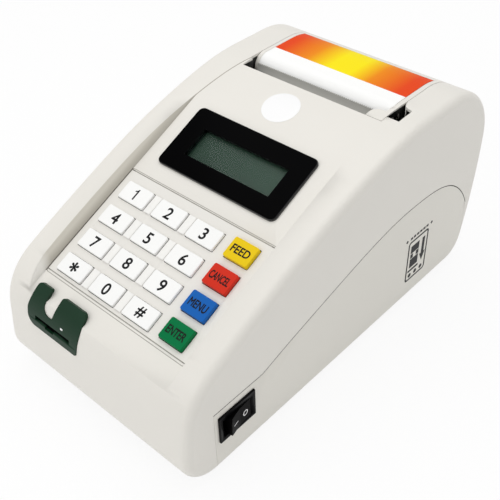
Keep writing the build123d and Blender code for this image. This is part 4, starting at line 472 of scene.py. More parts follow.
def metal(name, rgb, roughness=0.3, stroke=1500.0, depth=0.2, sheen=1.0):
    """Sheet or bar metal with strokes along X; sheen is the metallic share."""
    material, tree, shader, place = start_material(name)
    strokes = place_group(tree, "brushed strokes", place, {"Stroke scale": stroke, "Roughness": roughness})
    tint = mix_colours(tree, strokes["Height"], scaled(rgb, 0.9), scaled(rgb, 1.08))
    tree.links.new(tint, shader.inputs["Base Color"])
    tree.links.new(strokes["Roughness"], shader.inputs["Roughness"])
    shader.inputs["Metallic"].default_value = sheen
    add_bump(tree, shader, strokes["Height"], depth, 0.01 * MM)
    return material


def ink(name, rgb, roughness=0.45):
    """Printed ink with slightly uneven cover."""
    return moulding(name, rgb, roughness, grain=5200.0, depth=0.15, tone=0.15, gloss=0.15)


def shadow(name, rgb):
    """What is seen in a gap: matt, and hardly a mirror."""
    return moulding(name, rgb, roughness=0.8, gloss=0.05)


def finish_of(material):
    """A finished material's tree, Object coordinates, Base Color socket and what feeds it."""
    tree = material.node_tree
    coat = tree.nodes["Principled BSDF"].inputs["Base Color"]
    return tree, tree.nodes["Texture Coordinate"].outputs["Object"], coat, coat.links[0].from_socket


def paint_shade_box(material, low, high):
    """Painted shade: near black on what lies inside a box, in millimetres, such as an opening's walls."""
    tree, place, coat, tint = finish_of(material)
    split = split_vector(tree, place)
    inside = 1.0
    for axis, start, end in zip("XYZ", low, high):
        away = maths(tree, "SUBTRACT", split[axis], (start + end) / 2 * MM)
        within = maths(tree, "LESS_THAN", maths(tree, "ABSOLUTE", away), (end - start) / 2 * MM)
        inside = maths(tree, "MULTIPLY", within, inside)
    tree.links.new(mix_colours(tree, inside, tint, NEAR_BLACK), coat)


# ------------------------------------------------------------------ geometry nodes for what repeats
def geometry_group(name, inputs):
    """A geometry node group with named inputs, each a (socket type, default) pair."""
    group = bpy.data.node_groups.new(name, "GeometryNodeTree")
    for label, (kind, value) in inputs.items():
        socket = group.interface.new_socket(label, in_out="INPUT", socket_type="NodeSocket" + kind)
        if value is not None:
            socket.default_value = value
    group.interface.new_socket("Geometry", in_out="OUTPUT", socket_type="NodeSocketGeometry")
    return group, group.nodes.new("NodeGroupInput"), group.nodes.new("NodeGroupOutput")


def line_of_points(group, given, count, pitch, axis):
    """Points along X or Y, as many and as far apart as two inputs say."""
    step = group.nodes.new("ShaderNodeCombineXYZ")
    group.links.new(given.outputs[pitch], step.inputs[axis])
    node = group.nodes.new("GeometryNodeMeshLine")
    group.links.new(given.outputs[count], node.inputs["Count"])
    group.links.new(step.outputs[0], node.inputs["Offset"])
    return node.outputs[0]


def spread(group, points, piece):
    """Instances of a piece on points, made real."""
    put = group.nodes.new("GeometryNodeInstanceOnPoints")
    group.links.new(points, put.inputs["Points"])
    group.links.new(piece, put.inputs["Instance"])
    real = group.nodes.new("GeometryNodeRealizeInstances")
    group.links.new(put.outputs[0], real.inputs[0])
    return real.outputs[0]


def make_ring(group, given):
    """A rectangular ring, such as the dark gap round a key."""
    outline = group.nodes.new("GeometryNodeCurvePrimitiveQuadrilateral")
    section = group.nodes.new("GeometryNodeCurvePrimitiveQuadrilateral")
    for node, wide, tall in ((outline, "Width", "Length"), (section, "Border", "Depth")):
        group.links.new(given.outputs[wide], node.inputs["Width"])
        group.links.new(given.outputs[tall], node.inputs["Height"])
    ring = group.nodes.new("GeometryNodeCurveToMesh")
    group.links.new(outline.outputs[0], ring.inputs["Curve"])
    group.links.new(section.outputs[0], ring.inputs["Profile Curve"])
    return ring.outputs[0]


def make_block(group, given):
    """A small block, such as a chip's leg."""
    size = group.nodes.new("ShaderNodeCombineXYZ")
    for axis, label in (("X", "Width"), ("Y", "Length"), ("Z", "Depth")):
        group.links.new(given.outputs[label], size.inputs[axis])
    block = group.nodes.new("GeometryNodeMeshCube")
    group.links.new(size.outputs[0], block.inputs["Size"])
    return block.outputs[0]


def grid_group(name, sizes, make_piece):
    """A geometry node group that repeats a piece with these sizes in columns and rows."""
    inputs = {"Columns": ("Int", 1), "Rows": ("Int", 1)}
    for label in ("Column pitch", "Row pitch", *sizes):
        inputs[label] = ("Float", 0.01)
    inputs["Material"] = ("Material", None)
    group, given, out = geometry_group(name, inputs)
    across = line_of_points(group, given, "Columns", "Column pitch", "X")
    along = line_of_points(group, given, "Rows", "Row pitch", "Y")
    pieces = spread(group, spread(group, along, across), make_piece(group, given))
    coat = group.nodes.new("GeometryNodeSetMaterial")
    group.links.new(pieces, coat.inputs["Geometry"])
    group.links.new(given.outputs["Material"], coat.inputs["Material"])
    group.links.new(coat.outputs[0], out.inputs[0])


def repeated(name, group_name, place, values):
    """An object made by a geometry node group with these inputs, turned into a plain mesh at place."""
    piece = new_object(name, bpy.data.meshes.new(name))
    maker = piece.modifiers.new("repeat", "NODES")
    maker.node_group = bpy.data.node_groups[group_name]
    for item in maker.node_group.interface.items_tree:
        if item.in_out == "INPUT" and item.name in values:
            maker[item.identifier] = values[item.name]
    apply_modifiers(piece)
    piece.data.transform(place)
    return piece


def make_groups():
    for make in (moulded_grain_group, brushed_group, dust_group):
        make()
    grid_group("grid of rings", ["Width", "Length", "Border", "Depth"], make_ring)
    grid_group("grid of blocks", ["Width", "Length", "Depth"], make_block)


# ------------------------------------------------------------------ mesh helpers
def new_object(name, mesh):
    piece = bpy.data.objects.new(name, mesh)
    bpy.context.scene.collection.objects.link(piece)
    return piece


def apply_modifiers(piece):
    """Replaces a piece's mesh by what its modifiers make of it."""
    graph = bpy.context.evaluated_depsgraph_get()
    mesh = bpy.data.meshes.new_from_object(piece.evaluated_get(graph))
    piece.modifiers.clear()
    piece.data = mesh
    return piece


def shade(piece, limit=SMOOTH_ANGLE):
    """Smooth shading led by the larger faces, and sharp over edges steeper than limit."""
    piece.data.shade_smooth()
    piece.data.set_sharp_from_angle(angle=limit)
    weighted = piece.modifiers.new("weighted normals", "WEIGHTED_NORMAL")
    weighted.keep_sharp = True
    return apply_modifiers(piece)


def smooth_copy(node, name, limit=SMOOTH_ANGLE):
    """A merged and smooth-shaded copy of a CAD node's mesh."""
    mesh = NODES[node].data.copy()
    mesh.materials.clear()
    work = bmesh.new()
    work.from_mesh(mesh)
    bmesh.ops.remove_doubles(work, verts=work.verts, dist=1e-6)
    work.to_mesh(mesh)
    work.free()
    for layer in list(mesh.color_attributes):
        mesh.color_attributes.remove(layer)
    return shade(new_object(name, mesh), limit)


def settle(piece, body, material):
    """Gives a finished piece its material and its body."""
    piece.data.materials.clear()
    piece.data.materials.append(material)
    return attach(piece, body)


def dress_node(node, material):
    """A better material on a CAD node that stays as it is."""
    data = NODES[node].data
    data.materials.clear()
    data.materials.append(material)


def stand_for(node, name, body, material, limit=SMOOTH_ANGLE):
    """A smooth copy of a CAD node that is shown in its place."""
    piece = smooth_copy(node, name, limit)
    settle(piece, body, material)
    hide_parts(node)
    return piece


def solid_from_outlines(name, outlines, place, low, high):
    """Flat shapes in a plane, each a list of (u, v), drawn out from low to high and put in place."""
    work = bmesh.new()
    for outline in outlines:
        bottom = [work.verts.new((u, v, low)) for u, v in outline]
        top = [work.verts.new((u, v, high)) for u, v in outline]
        count = len(outline)
        work.faces.new(list(reversed(bottom)))
        work.faces.new(top)
        for here in range(count):
            after = (here + 1) % count
            work.faces.new((bottom[here], bottom[after], top[after], top[here]))
    bmesh.ops.recalc_face_normals(work, faces=work.faces)
    work.transform(place)
    mesh = bpy.data.meshes.new(name)
    work.to_mesh(mesh)
    work.free()
    return new_object(name, mesh)


def arc_points(u, v, radius, start, end, steps):
    """Points on an arc, angles in degrees."""
    turns = [math.radians(start + (end - start) * step / steps) for step in range(steps + 1)]
    return [(u + radius * math.cos(turn), v + radius * math.sin(turn)) for turn in turns]


def circle_points(u, v, radius, corners):
    return arc_points(u, v, radius, 0, 360 - 360 / corners, corners - 1)


def span(middle, half):
    return middle - half, middle + half


def rectangle(u_low, u_high, v_low, v_high):
    return [(u_low, v_low), (u_high, v_low), (u_high, v_high), (u_low, v_high)]


def rounded_rectangle(u_low, u_high, v_low, v_high, radius, steps=6):
    corners = [(u_high - radius, v_low + radius, -90), (u_high - radius, v_high - radius, 0),
               (u_low + radius, v_high - radius, 90), (u_low + radius, v_low + radius, 180)]
    return [point for u, v, start in corners for point in arc_points(u, v, radius, start, start + 90, steps)]


def band(inner, outer):
    """Quads between two outlines with the same number of points."""
    count = len(inner)
    return [[outer[here], outer[(here + 1) % count], inner[(here + 1) % count], inner[here]]
            for here in range(count)]


def embolden(work, amount):
    """Moves the walls of raised lettering outwards, and a sharp corner by twice that at most."""
    moves = []
    for vert in work.verts:
        walls = [face.normal for face in vert.link_faces if abs(face.normal.z) < 0.5]
        outward = sum(walls, Vector()).normalized()
        lean = min(outward.dot(wall) for wall in walls)
        moves.append(outward * amount / max(lean, 0.5))
    for vert, move in zip(work.verts, moves):
        vert.co += move


def text_mesh(name, words, width, height, place, weight):
    """Raised lettering centred on place, scaled to a height and at most a width."""
    curve = bpy.data.curves.new(name, "FONT")
    curve.body = words
    curve.extrude = 0.5
    curve.resolution_u = 6
    holder = new_object(name, curve)
    mesh = bpy.data.meshes.new_from_object(holder)
    bpy.data.objects.remove(holder)
    work = bmesh.new()
    work.from_mesh(mesh)
    bmesh.ops.remove_doubles(work, verts=work.verts, dist=1e-5)
    bmesh.ops.recalc_face_normals(work, faces=work.faces)
    embolden(work, weight)
    low = Vector([min(vert.co[axis] for vert in work.verts) for axis in range(3)])
    high = Vector([max(vert.co[axis] for vert in work.verts) for axis in range(3)])
    size = high - low
    tall = height / size.y
    wide = min(tall, width / size.x)
    centre = Matrix.Translation(-(low + high) / 2)
    work.transform(place @ Matrix.Diagonal((wide, tall, PRINT_THICK + PRINT_SINK, 1)) @ centre)
    work.to_mesh(mesh)
    work.free()
    return new_object(name, mesh)


def surface_place(piece, start, direction):
    """Matrix on a piece's surface where a ray meets it: X level, Z out of the surface."""
    point, normal = piece.ray_cast(start, direction)[1:3]
    level = UP.cross(normal).normalized()
    turn = Matrix((level, normal.cross(level), normal)).transposed().to_4x4()
    return Matrix.Translation(point) @ turn


def panel_normal(pad):
    return Vector((0, -math.sin(pad.slope), math.cos(pad.slope)))


def height_over(tree, place, pad):
    """Height of a point over the keypad panel's plane, as a shader value."""
    normal = panel_normal(pad)
    origin = Vector((0, pad.origin_y, pad.origin_z))
    return maths(tree, "SUBTRACT", reach_along(tree, place, normal), normal.dot(origin))


def panel_place(pad, x, s, n):
    """Matrix of a point on the keypad panel: X across, Y up the slope, Z out of it."""
    tilt = Matrix.Rotation(pad.slope, 4, "X")
    origin = Matrix.Translation((0, pad.origin_y, pad.origin_z))
    return origin @ tilt @ Matrix.Translation((x, s, n))


# ------------------------------------------------------------------ the pieces
# Boxes, in millimetres, round the insides of the finger notch and of the opening's left corner, and
# round the lid's side beside the notch, all painted near black as shade.
SHADED_CORNERS = [((41.2, 39.5, 60), (48.6, 51.6, 102.7)), ((-41.5, 36.0, 60), (-37.5, 48.0, 102.5))]
SHADED_LID_SIDE = (41.2, 39.5, 60), (42.0, 60.0, 102.9)

WALL_PLAY = 0.3 * MM            # within which a point counts as on the recess's wall
SHADE_FADE = 5.0 * MM           # over which the wall's painted shade sets in
SHADE_HEIGHT = 3.5 * MM         # over which it goes from its foot's tone to its upper one
PAD_CUT = 0.5 * MM              # height over the plate that tells its raised pads
SEAM_CUT = -0.15 * MM           # height under which the plate is seam or groove, painted in shade
FLAT_ON = 0.99                  # a face's share of X that makes it part of a side wall
UPWARD = 0.2                    # an edge's share of Z that makes it part of the parting
THREAD_TOP = 0.05 * MM          # of the parting's dark thread, a painted shadow, under the side's face
THREAD_FOOT = 0.35 * MM


class REGISTER_OT_case(Operator):
    """Case mouldings: cover, base and keypad plate"""

    bl_idname = "register.case"
    bl_label = "Case"

    def execute(self, context):
        case = context.scene.register_case
        cover = moulding("ivory cover", case.cover, case.roughness, case.grain, dust=0.05)
        base = moulding("ivory base", case.base, case.roughness, case.grain, dust=0.05)
        plate = moulding("keypad plate", case.panel, roughness=0.48, grain=case.grain, dust=0.03)
        stand_for("top_cover", "cover_shell", "case", cover)
        stand_for("base_case", "base_shell", "case", base)
        stand_for("keypad_plate", "keypad_inset", "case", plate)
        pad = context.scene.register_keypad
        self.shade_recess(cover, pad, case)
        self.tint_pads(plate, pad, case)
        # Painted shadow in the arched parting, on both sides.
        shade = shadow("parting shade", case.parting)
        for side in (-1, 1):
            settle(self.parting_line(case, side), "case", shade)
        # Painted shade, near black, inside the finger notch and the opening's left corner.
        for low, high in SHADED_CORNERS:
            paint_shade_box(cover, low, high)
        return {"FINISHED"}

    def shade_recess(self, material, pad, case):
        """Painted shade on the recess's left wall, darkest at its foot, told by where it leans out from the
        panel's edge.
        """
        tree, place, coat, tint = finish_of(material)
        split = split_vector(tree, place)
        rise = height_over(tree, place, pad)
        lean = maths(tree, "MULTIPLY", rise, case.wall_flare)
        foot = maths(tree, "SUBTRACT", maths(tree, "MULTIPLY", split["X"], -1.0), case.wall_foot)
        away = maths(tree, "ABSOLUTE", maths(tree, "SUBTRACT", foot, lean))
        ahead = way_along(tree, split["Y"], case.wall_front, case.wall_front + SHADE_FADE)
        mask = maths(tree, "MULTIPLY", maths(tree, "LESS_THAN", away, WALL_PLAY), ahead)
        climb = way_along(tree, rise, 0.0, SHADE_HEIGHT)
        painted_shade = mix_colours(tree, climb, case.foot_shade, case.wall_shade)
        product = tree.nodes.new("ShaderNodeVectorMath")
        product.operation = "MULTIPLY"
        tree.links.new(tint, product.inputs[0])
        tree.links.new(mix_colours(tree, mask, (1, 1, 1), painted_shade), product.inputs[1])
        tree.links.new(product.outputs[0], coat)

    def tint_pads(self, material, pad, case):
        """Pale raised pads between the keys, and painted shade in the plate's sunk seams, told by height
        over the plate.
        """
        tree, place, coat, tint = finish_of(material)
        rise = height_over(tree, place, pad)
        pale = mix_colours(tree, maths(tree, "GREATER_THAN", rise, PAD_CUT), tint, case.pad_tint)
        # Painted shade where the plate sinks into its seam and grooves.
        sunk = maths(tree, "LESS_THAN", rise, SEAM_CUT)
        tree.links.new(mix_colours(tree, sunk, pale, pad.seam_tint), coat)

    def parting_line(self, case, side):
        """Painted shadow in the arched parting gap: a dark thread just under the surface, along the base's
        side wall.
        """
        work = bmesh.new()
        work.from_mesh(bpy.data.objects["base_shell"].data)
        flat = {face for face in work.faces if face.normal.x * side > FLAT_ON
                and abs(face.calc_center_median().x * side - case.side_x) < HAIR}
        shapes = []
        for face in flat:
            for loop in face.loops:
                if sum(other in flat for other in loop.edge.link_faces) != 1:
                    continue
                start, end = loop.vert.co, loop.link_loop_next.vert.co
                outward = (end - start).cross(face.normal).normalized()
                if outward.z > UPWARD and min(start.z, end.z) > case.parting_low:
                    reach = outward * case.parting_width
                    points = start, end, end + reach, start + reach
                    shapes.append([(point.y, point.z) for point in points])
        work.free()
        name = "parting_right" if side > 0 else "parting_left"
        stand = Matrix.Diagonal((side, 1, 1, 1)) @ ON_SIDE
        return solid_from_outlines(name, shapes, stand, case.side_x - THREAD_FOOT, case.side_x - THREAD_TOP)


# Figure one with its flag, of unit height about its middle.
FIGURE_ONE = [(-0.02, -0.5), (0.12, -0.5), (0.12, 0.5), (0.03, 0.5), (-0.04, 0.36), (-0.22, 0.29),
              (-0.22, 0.19), (-0.02, 0.24)]
# Height and weight of the two marks, as shares of the digits' own.
MARK_STYLES = {"*": (0.88, 1.3), "#": (0.92, 1.0)}
WORD_BASE, WORD_STEP = 0.76, 0.04       # share of the longest word's width, and more for each letter
KEY_ROWS = 4
# Painted shade threads on the plate, in millimetres: from and to which height over its top.
SEAM_REACH = -0.3, 0.02
GROOVE_REACH = -0.6, -0.2
EDGE_REACH = -0.3, 0.04
GROOVE_INSET = 1.0 * MM         # from the plate's front and back
GROOVE_STOP = 2.0 * MM          # from its sides
GROOVE_WIDTH = 0.45 * MM
EDGE_OUT = 0.5 * MM             # of the painted shadow strip beside the plate's left edge


def key_places(pad):
    """Name, legend, middle x, middle s and top of every key, with its colour."""
    rows = [[("star", "*"), ("0", "0"), ("hash", "#")]]
    rows += [[(digit, digit) for digit in digits] for digits in ("789", "456", "123")]
    menu = [("enter", "ENTER", "green"), ("menu", "MENU", "blue"), ("cancel", "CANCEL", "red"),
            ("feed", "FEED", "yellow")]
    for row, entries in enumerate(rows):
        s = row * pad.pitch_s + pad.key_length / 2
        for column, (name, legend) in enumerate(entries):
            x = pad.first_x + column * pad.pitch_x + pad.key_width / 2
            yield "key_" + name, legend, x, s, pad.key_top, "white"
        name, legend, tint = menu[row]
        yield "key_" + name, legend, pad.menu_x + pad.menu_width / 2, s + pad.menu_shift, pad.menu_top, tint


class REGISTER_OT_keys(Operator):
    """Key caps and the print on them"""

    bl_idname = "register.keys"
    bl_label = "Keys"

    def execute(self, context):
        pad = context.scene.register_keypad
        caps = {tint: moulding(tint + " key", getattr(pad, tint), roughness=0.36, grain=3000.0, depth=0.15,
                               gloss=0.08)
                for tint in ("white", "yellow", "red", "blue", "green")}
        legend_ink = ink("legend ink", pad.ink)
        for node, legend, x, s, top, tint in key_places(pad):
            stand_for(node, node + "_cap", node, caps[tint])
            lift = top + (PRINT_THICK - PRINT_SINK) / 2
            place = panel_place(pad, x, s, lift)
            name = node + "_legend"
            if legend == "1":
                one = [(u * pad.digit_height, v * pad.digit_height) for u, v in FIGURE_ONE]
                flat = panel_place(pad, x, s, top)
                mark = solid_from_outlines(name, [one], flat, -PRINT_SINK, PRINT_THICK)
            elif tint == "white":
                height, weight = MARK_STYLES.get(legend, (1.0, 1.0))
                size = pad.key_width, height * pad.digit_height
                mark = text_mesh(name, legend, *size, place, weight * pad.digit_weight)
            else:
                width = pad.word_width * (WORD_BASE + WORD_STEP * len(legend))
                mark = text_mesh(name, legend, width, pad.word_height, place, pad.word_weight)
            settle(mark, node, legend_ink)
        self.make_gaps(pad)
        self.make_seams(pad)
        return {"FINISHED"}

    def make_gaps(self, pad):
        """Painted shadow: a dark ring in the gap round every key, in one block of white and one of coloured
        keys.
        """
        dark = shadow("gap dark", pad.gap)
        middle_s = pad.key_length / 2
        blocks = {
            "white_key_gaps": (3, pad.first_x, middle_s, pad.key_width, pad.key_length),
            "menu_key_gaps": (1, pad.menu_x, middle_s + pad.menu_shift, pad.menu_width, pad.menu_length),
        }
        for name, (columns, left, s, wide, tall) in blocks.items():
            values = {"Columns": columns, "Column pitch": pad.pitch_x, "Rows": KEY_ROWS,
                      "Row pitch": pad.pitch_s, "Width": wide + pad.gap_reach,
                      "Length": tall + pad.gap_reach, "Border": pad.gap_width, "Depth": pad.gap_depth,
                      "Material": dark}
            place = panel_place(pad, left + wide / 2, s, -pad.gap_depth / 2)
            settle(repeated(name, "grid of rings", place, values), "case", dark)

    def make_seams(self, pad):
        """Painted shade in the seam round the plate and its two grooves, and a painted shadow strip at its
        left edge.
        """
        half, seam = pad.plate_width / 2, pad.seam / 2
        front, back = pad.plate_front, pad.plate_front + pad.plate_length
        inner = rounded_rectangle(-half + seam, half - seam, front + seam, back - seam, pad.plate_corner)
        outer = rounded_rectangle(-half - seam, half + seam, front - seam, back + seam, pad.plate_corner)
        starts = front + GROOVE_INSET, back - GROOVE_INSET
        grooves = [rectangle(-half + GROOVE_STOP, half - GROOVE_STOP, s, s + GROOVE_WIDTH) for s in starts]
        strip = [rectangle(-half - EDGE_OUT, -half + HAIR, front, back)]
        shade = shadow("seam shade", pad.seam_tint)
        edge = shadow("edge shade", pad.edge_tint)
        for name, shapes, reach, material in (("plate_seam", band(inner, outer), SEAM_REACH, shade),
                                              ("plate_grooves", grooves, GROOVE_REACH, shade),
                                              ("plate_edge", strip, EDGE_REACH, edge)):
            low, high = (height * MM for height in reach)
            line = solid_from_outlines(name, shapes, panel_place(pad, 0, 0, 0), low, high)
            settle(line, "case", material)


FACE_GLOSS, EDGE_GLOSS = 0.012, 0.5     # of the display's frame, on its face and round its edges
FACE_TURN = 0.97                # a normal's share of the panel's, under which it is an edge's
CRYSTAL_GAP = 0.04 * MM         # between the panel and the can under it
CRYSTAL_SINK = 0.02 * MM        # of the panel under its seat


class REGISTER_OT_display(Operator):
    """Display frame, window and liquid-crystal panel"""

    bl_idname = "register.display"
    bl_label = "Display"

    def execute(self, context):
        scene = context.scene
        look, pad = scene.register_display, scene.register_keypad
        frame_black = moulding("gloss black frame", look.black, roughness=0.16, grain=900.0, depth=0.02,
                               tone=0.2, gloss=0.06)
        self.polish_edges(frame_black, pad)
        stand_for("display_bezel", "display_frame", "case", frame_black)
        dress_node("display_window", self.glass_material())
        can = smooth_copy("display_module", "display_can")
        seat = panel_place(pad, 0, 0, look.depth)
        for vert in can.data.vertices:
            if abs((seat.inverted() @ vert.co).z) < HAIR:
                vert.co -= seat.to_3x3() @ Vector((0, 0, look.crystal_thick + CRYSTAL_GAP))
        settle(can, "case", metal("display can", (0.42, 0.43, 0.42), roughness=0.4))
        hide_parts("display_module")
        half_w, half_h = look.width / 2, look.height / 2
        place = panel_place(pad, look.shift_x, look.middle_s, look.depth)
        outline = rectangle(-half_w, half_w, -half_h, half_h)
        panel = solid_from_outlines("crystal_panel", [outline], place, -look.crystal_thick, -CRYSTAL_SINK)
        settle(panel, "case", self.crystal_material(look))
        return {"FINISHED"}

    def polish_edges(self, material, pad):
        """Lets the frame's rounded edges catch the light while its face stays deep black."""
        tree = material.node_tree
        normal = tree.nodes["Texture Coordinate"].outputs["Normal"]
        edge = maths(tree, "LESS_THAN", reach_along(tree, normal, panel_normal(pad)), FACE_TURN)
        gloss = tree.nodes["Principled BSDF"].inputs["Specular IOR Level"]
        tree.links.new(ranged(tree, edge, FACE_GLOSS, EDGE_GLOSS), gloss)

    def glass_material(self):
        """Thin clear window that dims little and mirrors faintly."""
        material, tree, shader, place = start_material("display glass")
        smear = noise(tree, place, 60.0)
        shader.inputs["Base Color"].default_value = (0.01, 0.012, 0.011, 1)
        tree.links.new(ranged(tree, smear, 0.02, 0.09), shader.inputs["Roughness"])
        tree.links.new(ranged(tree, smear, 0.10, 0.16), shader.inputs["Alpha"])
        material.surface_render_method = "BLENDED"
        return material

    def crystal_material(self, look):
        """Unlit liquid crystal: grey-green, a little darker towards its left."""
        material, tree, shader, place = start_material("liquid crystal")
        fade = way_along(tree, split_vector(tree, place)["X"], -look.width / 2, look.width / 2)
        cloud = noise(tree, place, 26.0)
        both = maths(tree, "ADD", fade, maths(tree, "MULTIPLY", cloud, 0.2))
        tint = mix_colours(tree, both, scaled(look.crystal, 0.8), scaled(look.crystal, 1.1))
        tree.links.new(tint, shader.inputs["Base Color"])
        tree.links.new(ranged(tree, cloud, 0.25, 0.4), shader.inputs["Roughness"])
        shader.inputs["Specular IOR Level"].default_value = 0.15
        return material


SLOT_LAP = 0.12 * MM            # of the slot's liner, a painted shadow, over the bezel's rim
SLOT_BACKING = 0.1 * MM         # of the same behind the rim
RAY_FRONT = -0.2                # front to back place, in metres, where the ray to the lamp's place starts


class REGISTER_OT_reader(Operator):
    """Card reader: green bezel, its lamp, the slot's liner of painted shadow and the socket behind"""

    bl_idname = "register.reader"
    bl_label = "Card reader"

    def execute(self, context):
        look = context.scene.register_reader
        green = moulding("reader green", look.green, roughness=0.34, grain=1500.0, depth=0.2, tone=0.16,
                         gloss=0.15)
        stand_for("card_bezel", "reader_bezel", "case", green)
        dress_node("card_reader", moulding("reader socket", (0.01, 0.01, 0.011), roughness=0.5))
        # Painted shadow: a near-black liner lines the card slot.
        rim = band(self.slot_outline(look, -SLOT_LAP), self.slot_outline(look, SLOT_BACKING))
        liner = solid_from_outlines("slot_liner", rim, ON_FRONT, look.slot_front, look.slot_back)
        black = moulding("slot black", (0.004, 0.004, 0.004), roughness=0.6, gloss=0.05)
        settle(liner, "case", black)
        bezel = bpy.data.objects["reader_bezel"]
        half_w, half_h = look.lamp_width / 2, look.lamp_height / 2
        place = surface_place(bezel, Vector((look.lamp_x, RAY_FRONT, look.lamp_z)), Vector((0, 1, 0)))
        lens = rounded_rectangle(-half_w, half_w, -half_h, half_h, half_h / 2, steps=3)
        lamp = solid_from_outlines("reader_lamp", [lens], place, -PRINT_SINK, 2 * PRINT_THICK)
        clear = moulding("lamp lens", (0.92, 0.93, 0.92), roughness=0.2, grain=900.0, depth=0.02)
        settle(lamp, "case", clear)
        return {"FINISHED"}

    def slot_outline(self, look, grow):
        """The card slot's mouth with its keyway, in (x, z)."""
        left, right = span(look.slot_x, look.slot_width / 2 + grow)
        low, high = span(look.slot_z, look.slot_height / 2 + grow)
        key_left, key_right = span(look.keyway_x, look.keyway_width / 2 + grow)
        foot = low - look.keyway_drop
        return [(left, low), (key_left, low), (key_left, foot), (key_right, foot), (key_right, low),
                (right, low), (right, high), (left, high)]


RING_CORNERS = 24               # of the off mark's ring
CROWN_SHARE = 0.3               # of the rocker's crest, over which it counts as crown


class REGISTER_OT_switch(Operator):
    """Power switch: housing, rocker and its two marks"""

    bl_idname = "register.switch"
    bl_label = "Switch"

    def execute(self, context):
        look = context.scene.register_switch
        black = moulding("switch black", look.black, roughness=0.42, depth=0.15, tone=0.1, gloss=0.07)
        stand_for("switch_housing", "switch_frame", "case", black)
        turn = Matrix.Translation(look.pivot) @ Matrix.Rotation(look.tilt, 4, "Z")
        button = smooth_copy("switch_rocker", "switch_button")
        self.trim(button, turn, look)
        # Painted shade: the rocker is the switch's black darkened, for the shade in the housing's pocket.
        dark = moulding("rocker black", scaled(look.black, 0.45), roughness=0.5, depth=0.12, tone=0.1,
                        gloss=0.03)
        settle(button, "rocker", dark)
        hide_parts("switch_rocker")
        inks = ink("on mark", look.dim_mark), ink("off mark", look.mark)
        lean = math.atan2(look.crest - look.valley, look.half)
        size = look.mark_half
        ring = [circle_points(0, 0, radius, RING_CORNERS) for radius in (look.mark_hole, size)]
        bar = rectangle(-size, size, -look.mark_stroke, look.mark_stroke)
        for side, shapes in ((-1, [bar]), (1, band(*ring))):
            middle = Vector(((look.crest + look.valley) / 2, side * look.half / 2, -look.drop))
            place = turn @ Matrix.Translation(middle) @ Matrix.Rotation(-side * lean, 4, "Z") @ ON_SIDE
            mark = solid_from_outlines("rocker_mark_" + ("on" if side < 0 else "off"), shapes, place,
                                       -PRINT_SINK, PRINT_THICK)
            settle(mark, "rocker", inks[side > 0])
        return {"FINISHED"}

    def trim(self, button, turn, look):
        """Draws the rocker's ends and crown in to the shown length and height, about its pivot."""
        back = turn.inverted()
        local = [back @ vert.co for vert in button.data.vertices]
        crest, half = max(at.x for at in local), max(at.y for at in local)
        crown = [at for at in local if at.x > CROWN_SHARE * crest and abs(at.z) < look.pinch]
        valley = min(at.x for at in crown)
        for vert, at in zip(button.data.vertices, local):
            x = at.x
            if x >= valley and abs(at.z) < look.pinch:
                x = look.valley + (x - valley) * (look.crest - look.valley) / (crest - valley)
            vert.co = turn @ Vector((x, at.y * look.half / half, at.z))


# Tones of the ticket's header, by their share of the way across it.
HEADER_STOPS = [(0.05, "orange"), (0.25, "amber"), (0.42, "yellow"), (0.58, "yellow"), (0.72, "amber"),
                (0.93, "orange")]
WINDINGS = 9000.0               # radians of the paper's rings for each metre of radius


